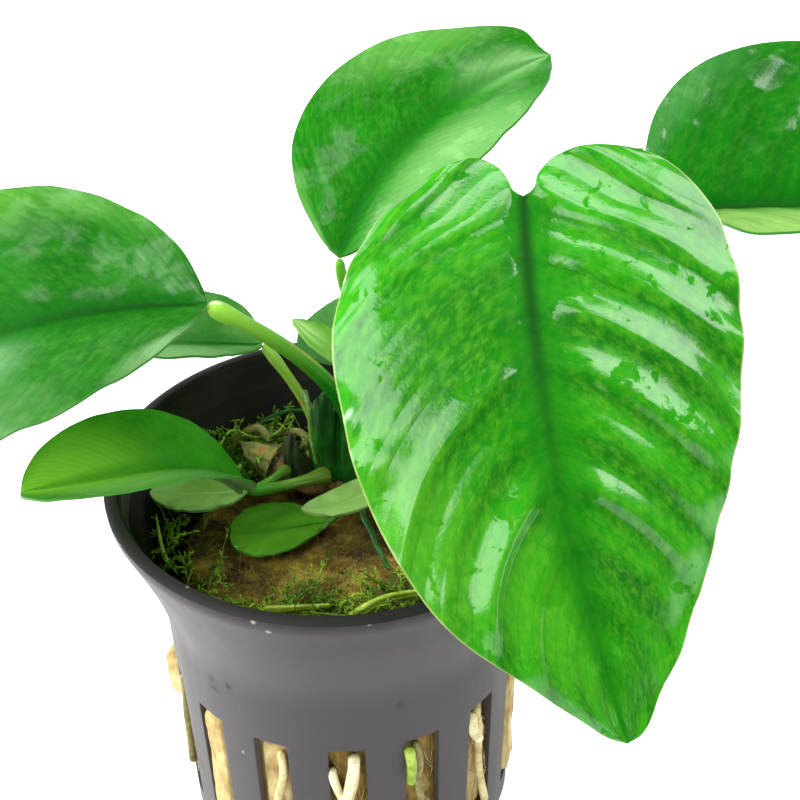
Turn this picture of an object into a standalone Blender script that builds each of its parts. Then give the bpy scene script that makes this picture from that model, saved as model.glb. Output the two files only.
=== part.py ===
"""Young anubias plant in a slotted plastic net pot packed with mineral wool.

The plant is built the way it comes apart on a bench: the pot, the plug of wool, the creeping
rhizome on the wool, one stalk and one blade for each leaf, and the thick roots.

The frame stands on the flat underside of the pot: the origin is the centre of that face, +Z is
up and -Y is the side that the largest leaf hangs over.  Lengths are written in millimetres and
MM turns them to metres.
"""

import math
from dataclasses import dataclass

import bmesh
import bpy
from mathutils import Vector

MM = 0.001
FIT_GAP = 0.3
MERGE = 1e-6

# Net pot, a common 5 cm size: 56 mm over the lip and 50 mm high.
POT_HEIGHT = 50.0
POT_WALL = 1.2
POT_FLOOR = 1.5
LIP_RADIUS = 28.0
LIP_WIDTH = 2.0
FOOT_RADIUS = 19.9
POT_STEPS = 56
# Outer side from the lip down: (radius, height).  A concave flare runs into a nearly straight body.
POT_SIDE = ((LIP_RADIUS, 49.7), (LIP_RADIUS, 48.8), (26.8, 46.2), (25.3, 42.8), (23.9, 39.4),
            (22.7, 35.8), (21.9, 32.4), (21.5, 28.0), (20.4, 10.0), (FOOT_RADIUS, 0.8))
SLOT_COUNT = 14
SLOT_WIDTH = 4.5
SLOT_LOW = 4.0
SLOT_TOP = 24.0
DRAIN_COUNT = 7
DRAIN_RADIUS = 2.0
DRAIN_CIRCLE = 12.5

# Wool plug: it fills the pot to 11 mm below the lip and is rounded off at its top edge.
WOOL_TOP = 38.8
WOOL_STEPS = 40
WOOL_EDGE = ((18.0, 38.2), (19.3, 36.6), (19.8, 33.0), (19.6, 26.0))
WOOL_FOOT_SLACK = 0.5

# Rhizome: a knobbly creeping stem that lies on the wool from the back left to the right.
RHIZOME_LEFT = Vector((-9.0, 11.0, 42.4))
RHIZOME_RIGHT = Vector((14.5, 4.2, 42.4))
RHIZOME_RADIUS = 2.9
RHIZOME_KNOBS = (0.45, 0.86, 0.78, 1.0, 0.86, 1.0, 0.84, 1.0, 0.86, 0.98, 0.8, 0.9, 0.4)

BLADE_THICKNESS = 0.8
STALK_POINTS = 9
STALK_TIP_SCALE = 0.8

# Outlines are (across, along) points of one half of a blade, from its base to its tip.  Left and
# right are the hands of someone who looks along the midrib from the base to the tip.
HEART_LEFT = ((0.0, 0.0), (1.2, -1.0), (1.8, -3.0), (4.0, -5.4), (8.6, -6.5), (13.5, -5.8),
              (18.2, -2.8), (21.9, 3.4), (23.3, 13.5), (22.6, 23.0), (20.4, 33.0), (17.5, 42.0),
              (13.0, 50.8), (7.8, 56.8), (2.4, 62.3), (0.0, 63.0))
HEART_RIGHT = ((0.0, 0.0), (1.2, -0.8), (1.8, -2.4), (3.3, -4.2), (6.0, -4.9), (11.8, -2.4),
               (17.4, 2.8), (21.2, 11.0), (22.3, 18.5), (21.2, 30.0), (18.6, 38.8), (15.2, 45.8),
               (8.7, 53.2), (2.4, 60.8), (0.0, 63.0))
# The part of the heart's outline that belongs to the lobe beside the notch.
HEART_LOBE = 0.17
# The back blade has a blunt tip, cut off aslant.
BLUNT_LEFT = ((0.0, 0.0), (3.0, 1.6), (8.6, 6.4), (12.4, 12.0), (14.3, 20.0), (13.6, 28.0),
              (9.6, 35.0), (6.2, 40.0), (2.0, 41.0), (0.0, 41.6))
BLUNT_RIGHT = ((0.0, 0.0), (3.0, 1.6), (9.0, 6.8), (13.3, 14.0), (14.3, 21.5), (13.6, 28.5),
               (10.5, 34.8), (5.7, 38.9), (0.0, 41.6))


@dataclass(frozen=True)
class Stalk:
    """A leaf stalk: where it grows on the rhizome and how it bends on its way to the blade.

    along is the fraction of the rhizome's length from its left end and around the angle from
    straight up towards the back.  The pulls are the handles of its curve at either end.
    """

    along: float
    around: float
    radius: float
    start_pull: tuple
    end_pull: tuple = (0.0, 0.0, 0.0)


@dataclass(frozen=True)
class Leaf:
    """One leaf: where its blade starts, how its midrib runs and how wide its halves are.

    heading and pitch are degrees at the base, middle and tip of the midrib.  fold is how steeply
    the left and right halves rise from the midrib, and curl how fast they bend back down, in
    degrees for each 10 mm.  shape holds the two powers of a plain blade's width, which an outline
    of its own replaces.
    """

    name: str
    base: tuple
    length: float
    heading: tuple
    pitch: tuple
    fold: tuple
    stalk: Stalk
    half_width: float = 0.0
    shape: tuple = (0.6, 0.75)
    outline: tuple = ()
    lobe: float = 0.0
    curl: float = -6.0
    bank: float = 0.0
    rows: int = 6
    columns: int = 4
    hangs: bool = False


LEAVES = (
    Leaf("front", base=(22.5, -6.0, 92.2), length=63.0, heading=(-92, -79, -53),
         pitch=(-22, -47, -65), fold=(6, 6), curl=-9, outline=(HEART_LEFT, HEART_RIGHT),
         lobe=HEART_LOBE, rows=14, columns=8, hangs=True,
         stalk=Stalk(0.84, -30, 1.2, start_pull=(2.0, -1.0, 20.0))),
    Leaf("back", base=(1.3, 17.2, 69.4), length=41.6, heading=(63, 48, 22), pitch=(38, 11, 4),
         fold=(19, 21), bank=2, outline=(BLUNT_LEFT, BLUNT_RIGHT), rows=10, columns=8,
         stalk=Stalk(0.62, 40, 0.65, start_pull=(0.5, 4.0, 8.0), end_pull=(-0.3, 2.0, 8.0))),
    Leaf("left", base=(-13.9, 2.5, 73.6), length=53.6, heading=(181, 192, 202),
         pitch=(5, -13, -30), fold=(16, 20), bank=5, half_width=21.4, shape=(0.69, 0.78),
         rows=12, columns=8,
         stalk=Stalk(0.54, -5, 1.15, start_pull=(-1.0, 0.0, 12.0), end_pull=(-8.5, -1.5, 6.6))),
    Leaf("right", base=(39.1, 17.3, 73.8), length=54.0, heading=(9, -3, -10),
         pitch=(1, -7, -15), fold=(42, 31), bank=1, half_width=22.4, shape=(0.41, 0.70),
         rows=12, columns=8,
         stalk=Stalk(0.93, 30, 1.0, start_pull=(4.0, 2.0, 12.0), end_pull=(9.0, 2.5, 4.0))),
    Leaf("low_left", base=(-10.6, -1.1, 48.8), length=30.2, heading=(208, 202, 181),
         pitch=(57, 6, -9), fold=(26, 27), bank=-3, half_width=9.0, shape=(0.63, 0.5),
         rows=9, columns=6,
         stalk=Stalk(0.36, -48, 0.7, start_pull=(-2.0, -2.5, 1.5), end_pull=(-3.0, -1.2, 1.0))),
    Leaf("behind_left", base=(-8.6, 16.0, 58.0), length=23.7, heading=(180, 177, 177),
         pitch=(4, 1, -7), fold=(34, 23), bank=8, half_width=7.4, shape=(0.52, 0.82),
         rows=8, columns=6,
         stalk=Stalk(0.3, 18, 0.7, start_pull=(-0.5, 1.0, 5.0), end_pull=(-2.5, 2.0, 2.5))),
    Leaf("under_left", base=(-11.1, 3.8, 45.0), length=12.0, heading=(179, 177, 173),
         pitch=(-7, -4, 4), fold=(11, 10), half_width=4.4, shape=(0.58, 0.7),
         stalk=Stalk(0.15, -50, 0.5, start_pull=(-0.5, -1.2, 1.0), end_pull=(-2.0, -0.5, 0.2))),
    Leaf("pot_side", base=(-1.4, 2.1, 40.9), length=12.1, heading=(185, 184, 179),
         pitch=(-6, -7, 0), fold=(5, 6), half_width=5.0, shape=(0.74, 0.45),
         stalk=Stalk(0.46, -88, 0.45, start_pull=(-0.2, -0.8, 0.0), end_pull=(-1.0, -0.3, -0.1))),
    Leaf("narrow", base=(7.1, 2.9, 47.3), length=12.8, heading=(221, 203, 182),
         pitch=(-16, -7, 7), fold=(13, 18), bank=5, half_width=2.4, shape=(0.6, 0.68),
         stalk=Stalk(0.75, -52, 0.45, start_pull=(0.1, -0.3, 1.4), end_pull=(-0.9, -0.7, -0.1))),
    Leaf("young", base=(4.8, 10.3, 57.1), length=12.0, heading=(186, 170, 156),
         pitch=(36, 37, 39), fold=(19, 24), bank=5, half_width=2.7, shape=(0.55, 0.8),
         stalk=Stalk(0.72, 40, 0.45, start_pull=(0.2, 0.8, 4.0), end_pull=(-1.5, 0.2, 2.5))),
    Leaf("shaded", base=(0.3, 16.5, 53.7), length=9.1, heading=(76, 77, 78),
         pitch=(58, 45, 34), fold=(13, 15), half_width=5.2, shape=(0.42, 0.98),
         stalk=Stalk(0.46, 55, 0.5, start_pull=(0.0, 2.5, 1.5), end_pull=(0.0, 1.0, 2.0))),
)

# Roots that grow from the rhizome and arch over the wool: name -> (radius, route).
ROOT_TAPER = 0.35
ROOT_POINTS = 8
ROOT_ROUTES = {
    "root_back_left": (0.6, ((-8.4, 14.9, 43.6), (-10.2, 16.8, 44.2), (-12.8, 16.4, 42.8),
                             (-14.2, 14.2, 40.8), (-14.6, 11.8, 39.7))),
    "root_back": (0.55, ((-3.6, 13.4, 43.8), (-5.0, 15.8, 44.3), (-7.8, 17.2, 42.6),
                         (-9.2, 16.6, 40.0))),
    "root_front": (0.5, ((2.6, 3.6, 42.0), (3.4, 0.8, 41.4), (4.6, -2.6, 40.4),
                         (6.0, -6.6, 39.6))),
    "root_right": (0.55, ((13.6, 0.8, 42.2), (15.4, -2.2, 41.6), (16.4, -6.0, 40.2),
                          (16.2, -9.0, 39.4))),
    "root_left": (0.5, ((-12.4, 10.6, 42.8), (-14.8, 8.8, 42.0), (-16.2, 5.6, 40.4),
                        (-16.8, 3.0, 39.4))),
}


@dataclass(frozen=True)
class SlotRoot:
    """A root that shows in a slot of the pot; it sways from one side to the other on its way."""

    slot: int
    top_shift: float
    foot_shift: float
    top: float
    foot: float


SLOT_ROOT_RADIUS = 0.55
SLOT_ROOT_POINTS = 7
SLOT_ROOT_SWAY = 0.35
SLOT_ROOTS = (
    SlotRoot(0, top_shift=1.0, foot_shift=-0.7, top=23.0, foot=7.0),
    SlotRoot(1, top_shift=-0.9, foot_shift=0.4, top=23.2, foot=9.0),
    SlotRoot(2, top_shift=-0.6, foot_shift=0.7, top=22.8, foot=6.0),
    SlotRoot(3, top_shift=0.5, foot_shift=-0.5, top=21.5, foot=7.5),
    SlotRoot(5, top_shift=0.6, foot_shift=-0.6, top=21.0, foot=7.0),
    SlotRoot(8, top_shift=-0.7, foot_shift=0.3, top=22.0, foot=8.0),
    SlotRoot(11, top_shift=-0.8, foot_shift=0.6, top=22.0, foot=8.5),
    SlotRoot(13, top_shift=1.1, foot_shift=0.3, top=22.5, foot=8.0),
)


def mm(point):
    """A point in metres from one in millimetres."""
    return Vector(point) * MM


def make_material(name, rgb, roughness):
    """A Principled material with one linear colour."""
    material = bpy.data.materials.new(name)
    material.use_nodes = True
    shader = material.node_tree.nodes["Principled BSDF"]
    shader.inputs["Base Color"].default_value = (*rgb, 1.0)
    shader.inputs["Roughness"].default_value = roughness
    shader.inputs["Metallic"].default_value = 0.0
    return material


def finish(thing, collection, material):
    """Gives a solid its material and smooth shading and moves it to its collection."""
    for owner in list(thing.users_collection):
        owner.objects.unlink(thing)
    collection.objects.link(thing)
    thing.data.materials.append(material)
    thing.data.shade_smooth()


def smooth_line(points, count):
    """Evenly spaced points on a smooth curve through the given ones."""
    ends = [points[0] * 2 - points[1], *points, points[-1] * 2 - points[-2]]
    dense = []
    for i in range(1, len(ends) - 2):
        a, b, c, d = ends[i - 1:i + 3]
        for step in range(12):
            t = step / 12
            dense.append(0.5 * (2 * b + (c - a) * t + (2 * a - 5 * b + 4 * c - d) * t * t
                                + (3 * b - a - 3 * c + d) * t ** 3))
    dense.append(points[-1])
    runs = [0.0]
    for a, b in zip(dense, dense[1:]):
        runs.append(runs[-1] + (b - a).length)
    line = []
    j = 0
    for i in range(count):
        reach = runs[-1] * i / (count - 1)
        while j < len(runs) - 2 and runs[j + 1] < reach:
            j += 1
        part = (reach - runs[j]) / (runs[j + 1] - runs[j])
        line.append(dense[j].lerp(dense[j + 1], part))
    return line


def on_line(line, t):
    """The point at the fraction t of an evenly spaced line."""
    place = min(max(t, 0.0), 1.0) * (len(line) - 1)
    i = min(int(place), len(line) - 2)
    return line[i].lerp(line[i + 1], place - i)


def bezier(a, b, c, d, count):
    """Points on the cubic curve from a to d, pulled towards b and c."""
    line = []
    for i in range(count):
        t = i / (count - 1)
        u = 1 - t
        line.append(a * u ** 3 + b * (3 * u * u * t) + c * (3 * u * t * t) + d * t ** 3)
    return line


def three_way(values, t):
    """The value at t, from those at 0, one half and 1."""
    if t < 0.5:
        return values[0] + (values[1] - values[0]) * t * 2
    return values[1] + (values[2] - values[1]) * (t * 2 - 1)


class Midrib:
    """The midrib of a leaf in space, with the blade's own directions along it."""

    STEPS = 120

    def __init__(self, leaf):
        self.leaf = leaf
        self.points = [Vector(leaf.base)]
        step = leaf.length / self.STEPS
        for i in range(self.STEPS):
            self.points.append(self.points[-1] + self.forward((i + 0.5) * step) * step)

    def forward(self, along):
        """The direction of growth at a length along the midrib."""
        t = min(max(along / self.leaf.length, 0.0), 1.0)
        heading = math.radians(three_way(self.leaf.heading, t))
        pitch = math.radians(three_way(self.leaf.pitch, t))
        level = math.cos(pitch)
        return Vector((level * math.cos(heading), level * math.sin(heading), math.sin(pitch)))

    def sideways(self, along):
        """The direction across the blade, to its right, with the leaf's bank."""
        forward = self.forward(along)
        level = Vector((forward.y, -forward.x, 0.0)).normalized()
        upright = level.cross(forward)
        bank = math.radians(self.leaf.bank)
        return level * math.cos(bank) + upright * math.sin(bank)

    def upward(self, along):
        """The direction out of the blade's upper face."""
        return self.sideways(along).cross(self.forward(along))

    def centre(self, along):
        """The point of the midrib, carried on straight before its base."""
        if along < 0:
            return self.points[0] + self.forward(0) * along
        place = min(along / self.leaf.length, 1.0) * self.STEPS
        i = min(int(place), self.STEPS - 1)
        return self.points[i].lerp(self.points[i + 1], place - i)

    def lift(self, across, along):
        """The point in space of a point in the blade's plane; across is positive to the right."""
        right = across > 0
        fold = math.radians(self.leaf.fold[1 if right else 0])
        curl = math.radians(self.leaf.curl) / 10
        bent = fold + curl * abs(across)
        out = (math.sin(bent) - math.sin(fold)) / curl
        rise = (math.cos(fold) - math.cos(bent)) / curl
        side = self.sideways(along) * (out if right else -out)
        return self.centre(along) + side + self.upward(along) * rise


def half_outline(leaf, right):
    """The outline of one half of a blade as (across, along) points, from its base to its tip."""
    if leaf.outline:
        points = [Vector((x, y, 0.0)) for x, y in leaf.outline[1 if right else 0]]
        return smooth_line(points, 60)
    rise, fall = leaf.shape
    peak = rise / (rise + fall)
    widest = peak ** rise * (1 - peak) ** fall
    points = []
    for i in range(25):
        t = (1 - math.cos(math.pi * i / 24)) / 2
        width = leaf.half_width * t ** rise * (1 - t) ** fall / widest
        points.append(Vector((width, t * leaf.length, 0.0)))
    return smooth_line(points, 60)


def blade_plane_point(leaf, outline, s, v):
    """A point of a half blade: s runs up the midrib and v out along a side vein."""
    if s <= 0:
        return on_line(outline, leaf.lobe * v)
    root = Vector((0.0, leaf.length * s, 0.0))
    edge = on_line(outline, leaf.lobe + (1 - leaf.lobe) * s ** 0.78)
    knee = Vector((edge.x * 0.55, root.y + (edge.y - root.y) * 0.25, 0.0))
    return root * (1 - v) ** 2 + knee * (2 * v * (1 - v)) + edge * v * v


def make_blade(leaf, midrib, collection, material):
    """A blade: a flat grid laid on the leaf's bent surface and given its thickness."""
    bpy.ops.mesh.primitive_grid_add(x_subdivisions=leaf.columns, y_subdivisions=leaf.rows, size=2)
    blade = bpy.context.object
    blade.name = leaf.name + "_leaf_blade"
    outlines = [half_outline(leaf, right) for right in (False, True)]
    for vertex in blade.data.vertices:
        v = vertex.co.x
        s = (vertex.co.y + 1) / 2
        spot = blade_plane_point(leaf, outlines[1 if v > 0 else 0], s, abs(v))
        vertex.co = mm(midrib.lift(math.copysign(spot.x, v), spot.y))
    work = bmesh.new()
    work.from_mesh(blade.data)
    bmesh.ops.remove_doubles(work, verts=work.verts, dist=MERGE)
    work.to_mesh(blade.data)
    work.free()
    thick = blade.modifiers.new("Thickness", "SOLIDIFY")
    thick.thickness = BLADE_THICKNESS * MM
    thick.offset = -1
    finish(blade, collection, material)


def make_tube(name, line, radii, collection, material, resolution=1):
    """A round tube with closed ends along a line of points in millimetres."""
    curve = bpy.data.curves.new(name, "CURVE")
    curve.dimensions = "3D"
    curve.bevel_depth = MM
    curve.bevel_resolution = resolution
    curve.use_fill_caps = True
    spline = curve.splines.new("POLY")
    spline.points.add(len(line) - 1)
    for point, spot, radius in zip(spline.points, line, radii):
        point.co = (*mm(spot), 1.0)
        point.radius = radius
    tube = bpy.data.objects.new(name, curve)
    collection.objects.link(tube)
    curve.materials.append(material)


def rhizome_spot(along, around, lift):
    """A point over the rhizome's surface, around it in degrees from straight up to the back."""
    axis = (RHIZOME_RIGHT - RHIZOME_LEFT).normalized()
    back = Vector((0.0, 0.0, 1.0)).cross(axis)
    turn = math.radians(around)
    out = back * math.sin(turn) + Vector((0.0, 0.0, math.cos(turn)))
    return RHIZOME_LEFT.lerp(RHIZOME_RIGHT, along) + out * (RHIZOME_RADIUS + lift)


def make_stalk(leaf, midrib, collection, material):
    """A leaf stalk from the rhizome to just short of its blade."""
    stalk = leaf.stalk
    start = rhizome_spot(stalk.along, stalk.around, FIT_GAP + stalk.radius * 0.4)
    under = midrib.upward(0.0)
    if leaf.hangs:
        end = midrib.centre(1.6) - under * (BLADE_THICKNESS + FIT_GAP + 0.15)
        pull = end - under * 14.0
    else:
        end = midrib.centre(-0.45) - under * (BLADE_THICKNESS / 2)
        pull = end - Vector(stalk.end_pull)
    line = bezier(start, start + Vector(stalk.start_pull), pull, end, STALK_POINTS)
    radii = []
    for i in range(STALK_POINTS):
        thinning = (STALK_TIP_SCALE - 1) * i / (STALK_POINTS - 1)
        radii.append(stalk.radius * (1 + thinning))
    make_tube(leaf.name + "_leaf_stalk", line, radii, collection, material)


def slot_angle(index):
    """The angle of a slot's middle; slot 0 faces the front and the count runs to the right."""
    return math.radians(-90.0) + 2 * math.pi * index / SLOT_COUNT


def turn_about_axis(work, verts, angle):
    """Turns vertices about the pot's axis."""
    co, si = math.cos(angle), math.sin(angle)
    for vert in verts:
        x, y = vert.co.x, vert.co.y
        vert.co.x = x * co - y * si
        vert.co.y = x * si + y * co


def turned(name, profile, steps):
    """A solid of revolution from a profile of (radius, height) that starts and ends on the axis."""
    mesh = bpy.data.meshes.new(name)
    points = [mm((radius, 0.0, height)) for radius, height in profile]
    edges = [(i, i + 1) for i in range(len(points) - 1)]
    mesh.from_pydata(points, edges, [])
    solid = bpy.data.objects.new(name, mesh)
    bpy.context.scene.collection.objects.link(solid)
    screw = solid.modifiers.new("Turned", "SCREW")
    screw.steps = steps
    screw.render_steps = steps
    screw.use_merge_vertices = True
    screw.merge_threshold = 1e-5
    return solid


def pot_profile():
    """Half the pot's section, from the middle of its floor up the inside and down the outside."""
    lip_inside = LIP_RADIUS - LIP_WIDTH
    inner = [(lip_inside, POT_HEIGHT - 0.9)]
    for radius, height in POT_SIDE[2:-1]:
        inner.append((radius - POT_WALL, height))
    inner.append((FOOT_RADIUS - POT_WALL, POT_FLOOR))
    return [(0.0, POT_FLOOR), *reversed(inner), (lip_inside, POT_HEIGHT),
            (LIP_RADIUS - 0.3, POT_HEIGHT), *POT_SIDE, (FOOT_RADIUS - 0.5, 0.0), (0.0, 0.0)]


def make_pot_openings(cutters):
    """The cutter for the pot: a box for each slot and a drill for each drain hole."""
    height = SLOT_TOP - SLOT_LOW
    work = bmesh.new()
    for i in range(SLOT_COUNT):
        box = bmesh.ops.create_cube(work, size=MM)["verts"]
        bmesh.ops.scale(work, vec=(8.0, SLOT_WIDTH, height), verts=box)
        bmesh.ops.translate(work, vec=mm((20.5, 0.0, SLOT_LOW + height / 2)), verts=box)
        turn_about_axis(work, box, slot_angle(i))
    for i in range(DRAIN_COUNT):
        drill = bmesh.ops.create_cone(work, cap_ends=True, segments=10, radius1=DRAIN_RADIUS * MM,
                                      radius2=DRAIN_RADIUS * MM, depth=6 * MM)["verts"]
        bmesh.ops.translate(work, vec=mm((DRAIN_CIRCLE, 0.0, 0.0)), verts=drill)
        turn_about_axis(work, drill, 2 * math.pi * i / DRAIN_COUNT)
    mesh = bpy.data.meshes.new("pot_openings")
    work.to_mesh(mesh)
    work.free()
    cutter = bpy.data.objects.new("pot_openings", mesh)
    cutter.hide_render = True
    cutter.display_type = "WIRE"
    cutters.objects.link(cutter)
    return cutter


def make_pot(collection, cutters, material):
    """The net pot: a turned shell with slots round its side and drain holes in its floor."""
    pot = turned("net_pot", pot_profile(), POT_STEPS)
    cut = pot.modifiers.new("Openings", "BOOLEAN")
    cut.operation = "DIFFERENCE"
    cut.object = make_pot_openings(cutters)
    finish(pot, collection, material)


def make_wool(collection, material):
    """The plug of mineral wool, a turned solid that stops short of the wall and the floor."""
    foot = POT_FLOOR + FIT_GAP
    reach = FOOT_RADIUS - POT_WALL - WOOL_FOOT_SLACK
    profile = [(0.0, WOOL_TOP), *WOOL_EDGE, (reach, foot + 1.0), (reach - 0.7, foot), (0.0, foot)]
    wool = turned("rock_wool_plug", profile, WOOL_STEPS)
    finish(wool, collection, material)


def make_rhizome(collection, material):
    """The rhizome: a thick stem with a swelling at each old leaf scar."""
    count = len(RHIZOME_KNOBS)
    line = []
    for i in range(count):
        t = i / (count - 1)
        weave = Vector((0.0, 0.35 * math.sin(5 * t), 0.0))
        line.append(RHIZOME_LEFT.lerp(RHIZOME_RIGHT, t) + weave)
    radii = [RHIZOME_RADIUS * knob for knob in RHIZOME_KNOBS]
    make_tube("rhizome", line, radii, collection, material, resolution=3)


def make_wool_roots(collection, material):
    """The thick roots that arch from the rhizome over the wool."""
    for name, (radius, route) in ROOT_ROUTES.items():
        line = smooth_line([Vector(point) for point in route], ROOT_POINTS)
        radii = []
        for i in range(ROOT_POINTS):
            radii.append(radius * (1 - ROOT_TAPER * i / (ROOT_POINTS - 1)))
        make_tube(name, line, radii, collection, material)


def make_slot_roots(collection, material):
    """The roots that have grown through the wool and stand in the pot's slots."""
    reach = WOOL_EDGE[-1][0] + FIT_GAP + SLOT_ROOT_RADIUS + 0.15
    for root in SLOT_ROOTS:
        angle = slot_angle(root.slot)
        line = []
        for i in range(SLOT_ROOT_POINTS):
            t = i / (SLOT_ROOT_POINTS - 1)
            height = root.top + (root.foot - root.top) * t
            shift = root.top_shift + (root.foot_shift - root.top_shift) * t
            shift += SLOT_ROOT_SWAY * math.sin(2.5 * math.pi * t)
            line.append(Vector((reach * math.cos(angle) - shift * math.sin(angle),
                                reach * math.sin(angle) + shift * math.cos(angle), height)))
        radii = [SLOT_ROOT_RADIUS] * SLOT_ROOT_POINTS
        make_tube(f"slot_root_{root.slot:02d}", line, radii, collection, material)


def main():
    """Builds the potted plant."""
    for thing in list(bpy.data.objects):
        bpy.data.objects.remove(thing, do_unlink=True)
    plant = bpy.data.collections.new("anubias_in_net_pot")
    cutters = bpy.data.collections.new("cutters")
    cutters.hide_render = True
    for collection in (plant, cutters):
        bpy.context.scene.collection.children.link(collection)
    plastic = make_material("pot_plastic", (0.145, 0.13, 0.14), 0.5)
    wool = make_material("mineral_wool", (0.32, 0.22, 0.05), 0.95)
    bark = make_material("rhizome_bark", (0.22, 0.13, 0.07), 0.7)
    root = make_material("root_skin", (0.62, 0.55, 0.24), 0.7)
    green = make_material("leaf_green", (0.02, 0.19, 0.015), 0.3)
    stalk = make_material("stalk_green", (0.12, 0.34, 0.03), 0.4)
    young = make_material("young_green", (0.3, 0.56, 0.08), 0.4)
    make_pot(plant, cutters, plastic)
    make_wool(plant, wool)
    make_rhizome(plant, bark)
    for leaf in LEAVES:
        midrib = Midrib(leaf)
        make_blade(leaf, midrib, plant, young if leaf.name == "young" else green)
        make_stalk(leaf, midrib, plant, stalk)
    make_wool_roots(plant, root)
    make_slot_roots(plant, root)


main()
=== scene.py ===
"""Looks of a young anubias in a slotted plastic net pot that is packed with mineral wool.

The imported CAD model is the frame: each piece here stands where the node that it replaces stands.
Lengths are written in millimetres and MM turns them to metres.  The blades keep the midribs, folds
and outlines of the CAD blades and gain veins, puckers, thin edges and a skin of wax and water.
"""

import sys

import logging
import math
from collections.abc import Callable, Iterable
from dataclasses import dataclass, field
from enum import Enum

import bpy
import numpy as np
from mathutils import Matrix, Quaternion, Vector


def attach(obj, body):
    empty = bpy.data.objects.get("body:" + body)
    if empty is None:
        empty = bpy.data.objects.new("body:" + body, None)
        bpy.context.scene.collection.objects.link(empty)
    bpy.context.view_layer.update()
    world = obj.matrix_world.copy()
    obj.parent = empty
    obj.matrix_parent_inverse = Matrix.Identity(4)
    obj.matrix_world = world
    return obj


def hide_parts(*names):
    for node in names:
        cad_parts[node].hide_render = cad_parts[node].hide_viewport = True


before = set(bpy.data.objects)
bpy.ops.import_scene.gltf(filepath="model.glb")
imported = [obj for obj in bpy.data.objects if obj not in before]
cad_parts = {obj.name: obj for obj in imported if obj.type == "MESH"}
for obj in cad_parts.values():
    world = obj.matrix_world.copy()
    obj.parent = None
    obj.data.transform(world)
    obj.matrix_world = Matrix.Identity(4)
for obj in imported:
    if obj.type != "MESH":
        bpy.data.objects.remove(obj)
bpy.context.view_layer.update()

MM = 0.001
# Points nearer than this, in metres, become one where a sheet's row shrinks to a tip, and at the
# seams of a closed skin.
SHEET_MERGE = 3e-5
SEAM_MERGE = 1e-6
ROOT = "root"
log = logging.getLogger("anubias")

Array = np.ndarray
Piece = bpy.types.Object
Material = bpy.types.Material
Tree = bpy.types.NodeTree
Node = bpy.types.Node
# What feeds a node's input: a plain value, a hex colour, a socket, or a node for its first output.
Feed = object
Triple = tuple[float, float, float]
Stops = tuple[tuple[float, str], ...]
# Soft patches on a piece's own map, each (across, along, size, colour).
Tints = tuple[tuple[float, float, float, str], ...]
Place = Callable[[Array, Array], Array]
Hold = Callable[[Array], Array]


class Slot(Enum):
    """The record's material slots."""

    POT = "pot_plastic"
    WOOL = "mineral_wool"
    BARK = "rhizome_bark"
    ROOT = "root_skin"
    LEAF = "leaf_green"
    STALK = "stalk_green"
    YOUNG = "young_green"


# ---------------------------------------------------------------- colours and nodes

def linear(code: str) -> tuple[float, float, float, float]:
    """Turns an sRGB hex colour to linear light.

    Args:
        code: The colour as six hex digits after a hash.

    Returns:
        Linear red, green, blue and an alpha of 1.
    """
    channels = []
    for i in (1, 3, 5):
        value = int(code[i:i + 2], 16) / 255
        channels.append(value / 12.92 if value <= 0.04045 else ((value + 0.055) / 1.055) ** 2.4)
    return (*channels, 1.0)


def feed(tree: Tree, node: Node, inputs: dict[str | int, Feed]) -> None:
    """Gives some of a node's inputs what feeds them; None leaves one alone.

    Args:
        tree: The node tree that takes the links.
        node: The node.
        inputs: Feeds by the inputs' names or numbers.
    """
    for key, value in inputs.items():
        if isinstance(value, Node):
            value = next(socket for socket in value.outputs if socket.enabled)
        if isinstance(value, bpy.types.NodeSocket):
            tree.links.new(value, node.inputs[key])
        elif value is not None:
            node.inputs[key].default_value = linear(value) if isinstance(value, str) else value


def add_node(tree: Tree, kind: str, *values: Feed, **named: Feed) -> Node:
    """Adds a shader node with its settings and links.

    Args:
        tree: The node tree that takes it.
        kind: The node's class without its ShaderNode prefix.
        values: Feeds for its inputs in order, among those that its settings leave in use.
        named: Settings by their lower-case names and feeds by their inputs' capitalised ones;
            stops gives a colour ramp's (place, hex) pairs.

    Returns:
        The node.
    """
    node = tree.nodes.new("ShaderNode" + kind)
    stops = named.pop("stops", ())
    for _ in stops[2:]:
        node.color_ramp.elements.new(0.5)
    for i, (place, code) in enumerate(stops):
        node.color_ramp.elements[i].position = place
        node.color_ramp.elements[i].color = linear(code)
    for key in [key for key in named if key.islower()]:
        setattr(node, key, named.pop(key))
    in_use = [i for i, socket in enumerate(node.inputs) if socket.enabled]
    feed(tree, node, {**dict(zip(in_use, values)), **named})
    return node


# Settings that several nodes share.
SMOOTH = {"interpolation_type": "SMOOTHSTEP"}
WANDER = {"Roughness": 0.6, "Distortion": 0.4}
EDGES = {"feature": "DISTANCE_TO_EDGE"}
TIMES = {"operation": "MULTIPLY"}
TIMES_PLUS = {"operation": "MULTIPLY_ADD"}
MINUS = {"operation": "SUBTRACT"}
AWAY = {"operation": "DISTANCE"}


def layer(tree: Tree, base: Feed, layers: Iterable[tuple[Feed, str]]) -> Feed:
    """Lays colours over one another.

    Args:
        tree: The node tree that takes the mixes.
        base: The lowest colour.
        layers: For each further colour its share and its hex code.

    Returns:
        The whole stack.
    """
    for share, code in layers:
        base = add_node(tree, "Mix", share, base, code, data_type="RGBA")
    return base


def shares(tree: Tree, rows: Iterable[tuple[Feed, float, float, Feed, str]]) -> list[tuple[Node, str]]:
    """Makes layers whose shares grow smoothly with a value.

    Args:
        tree: The node tree that takes them.
        rows: Each (value, where the share is none, where it is full, the full share, colour).

    Returns:
        The layers, each a share and a colour.
    """
    return [(add_node(tree, "MapRange", value, none, full, 0.0, most, **SMOOTH), code)
            for value, none, full, most, code in rows]


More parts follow.
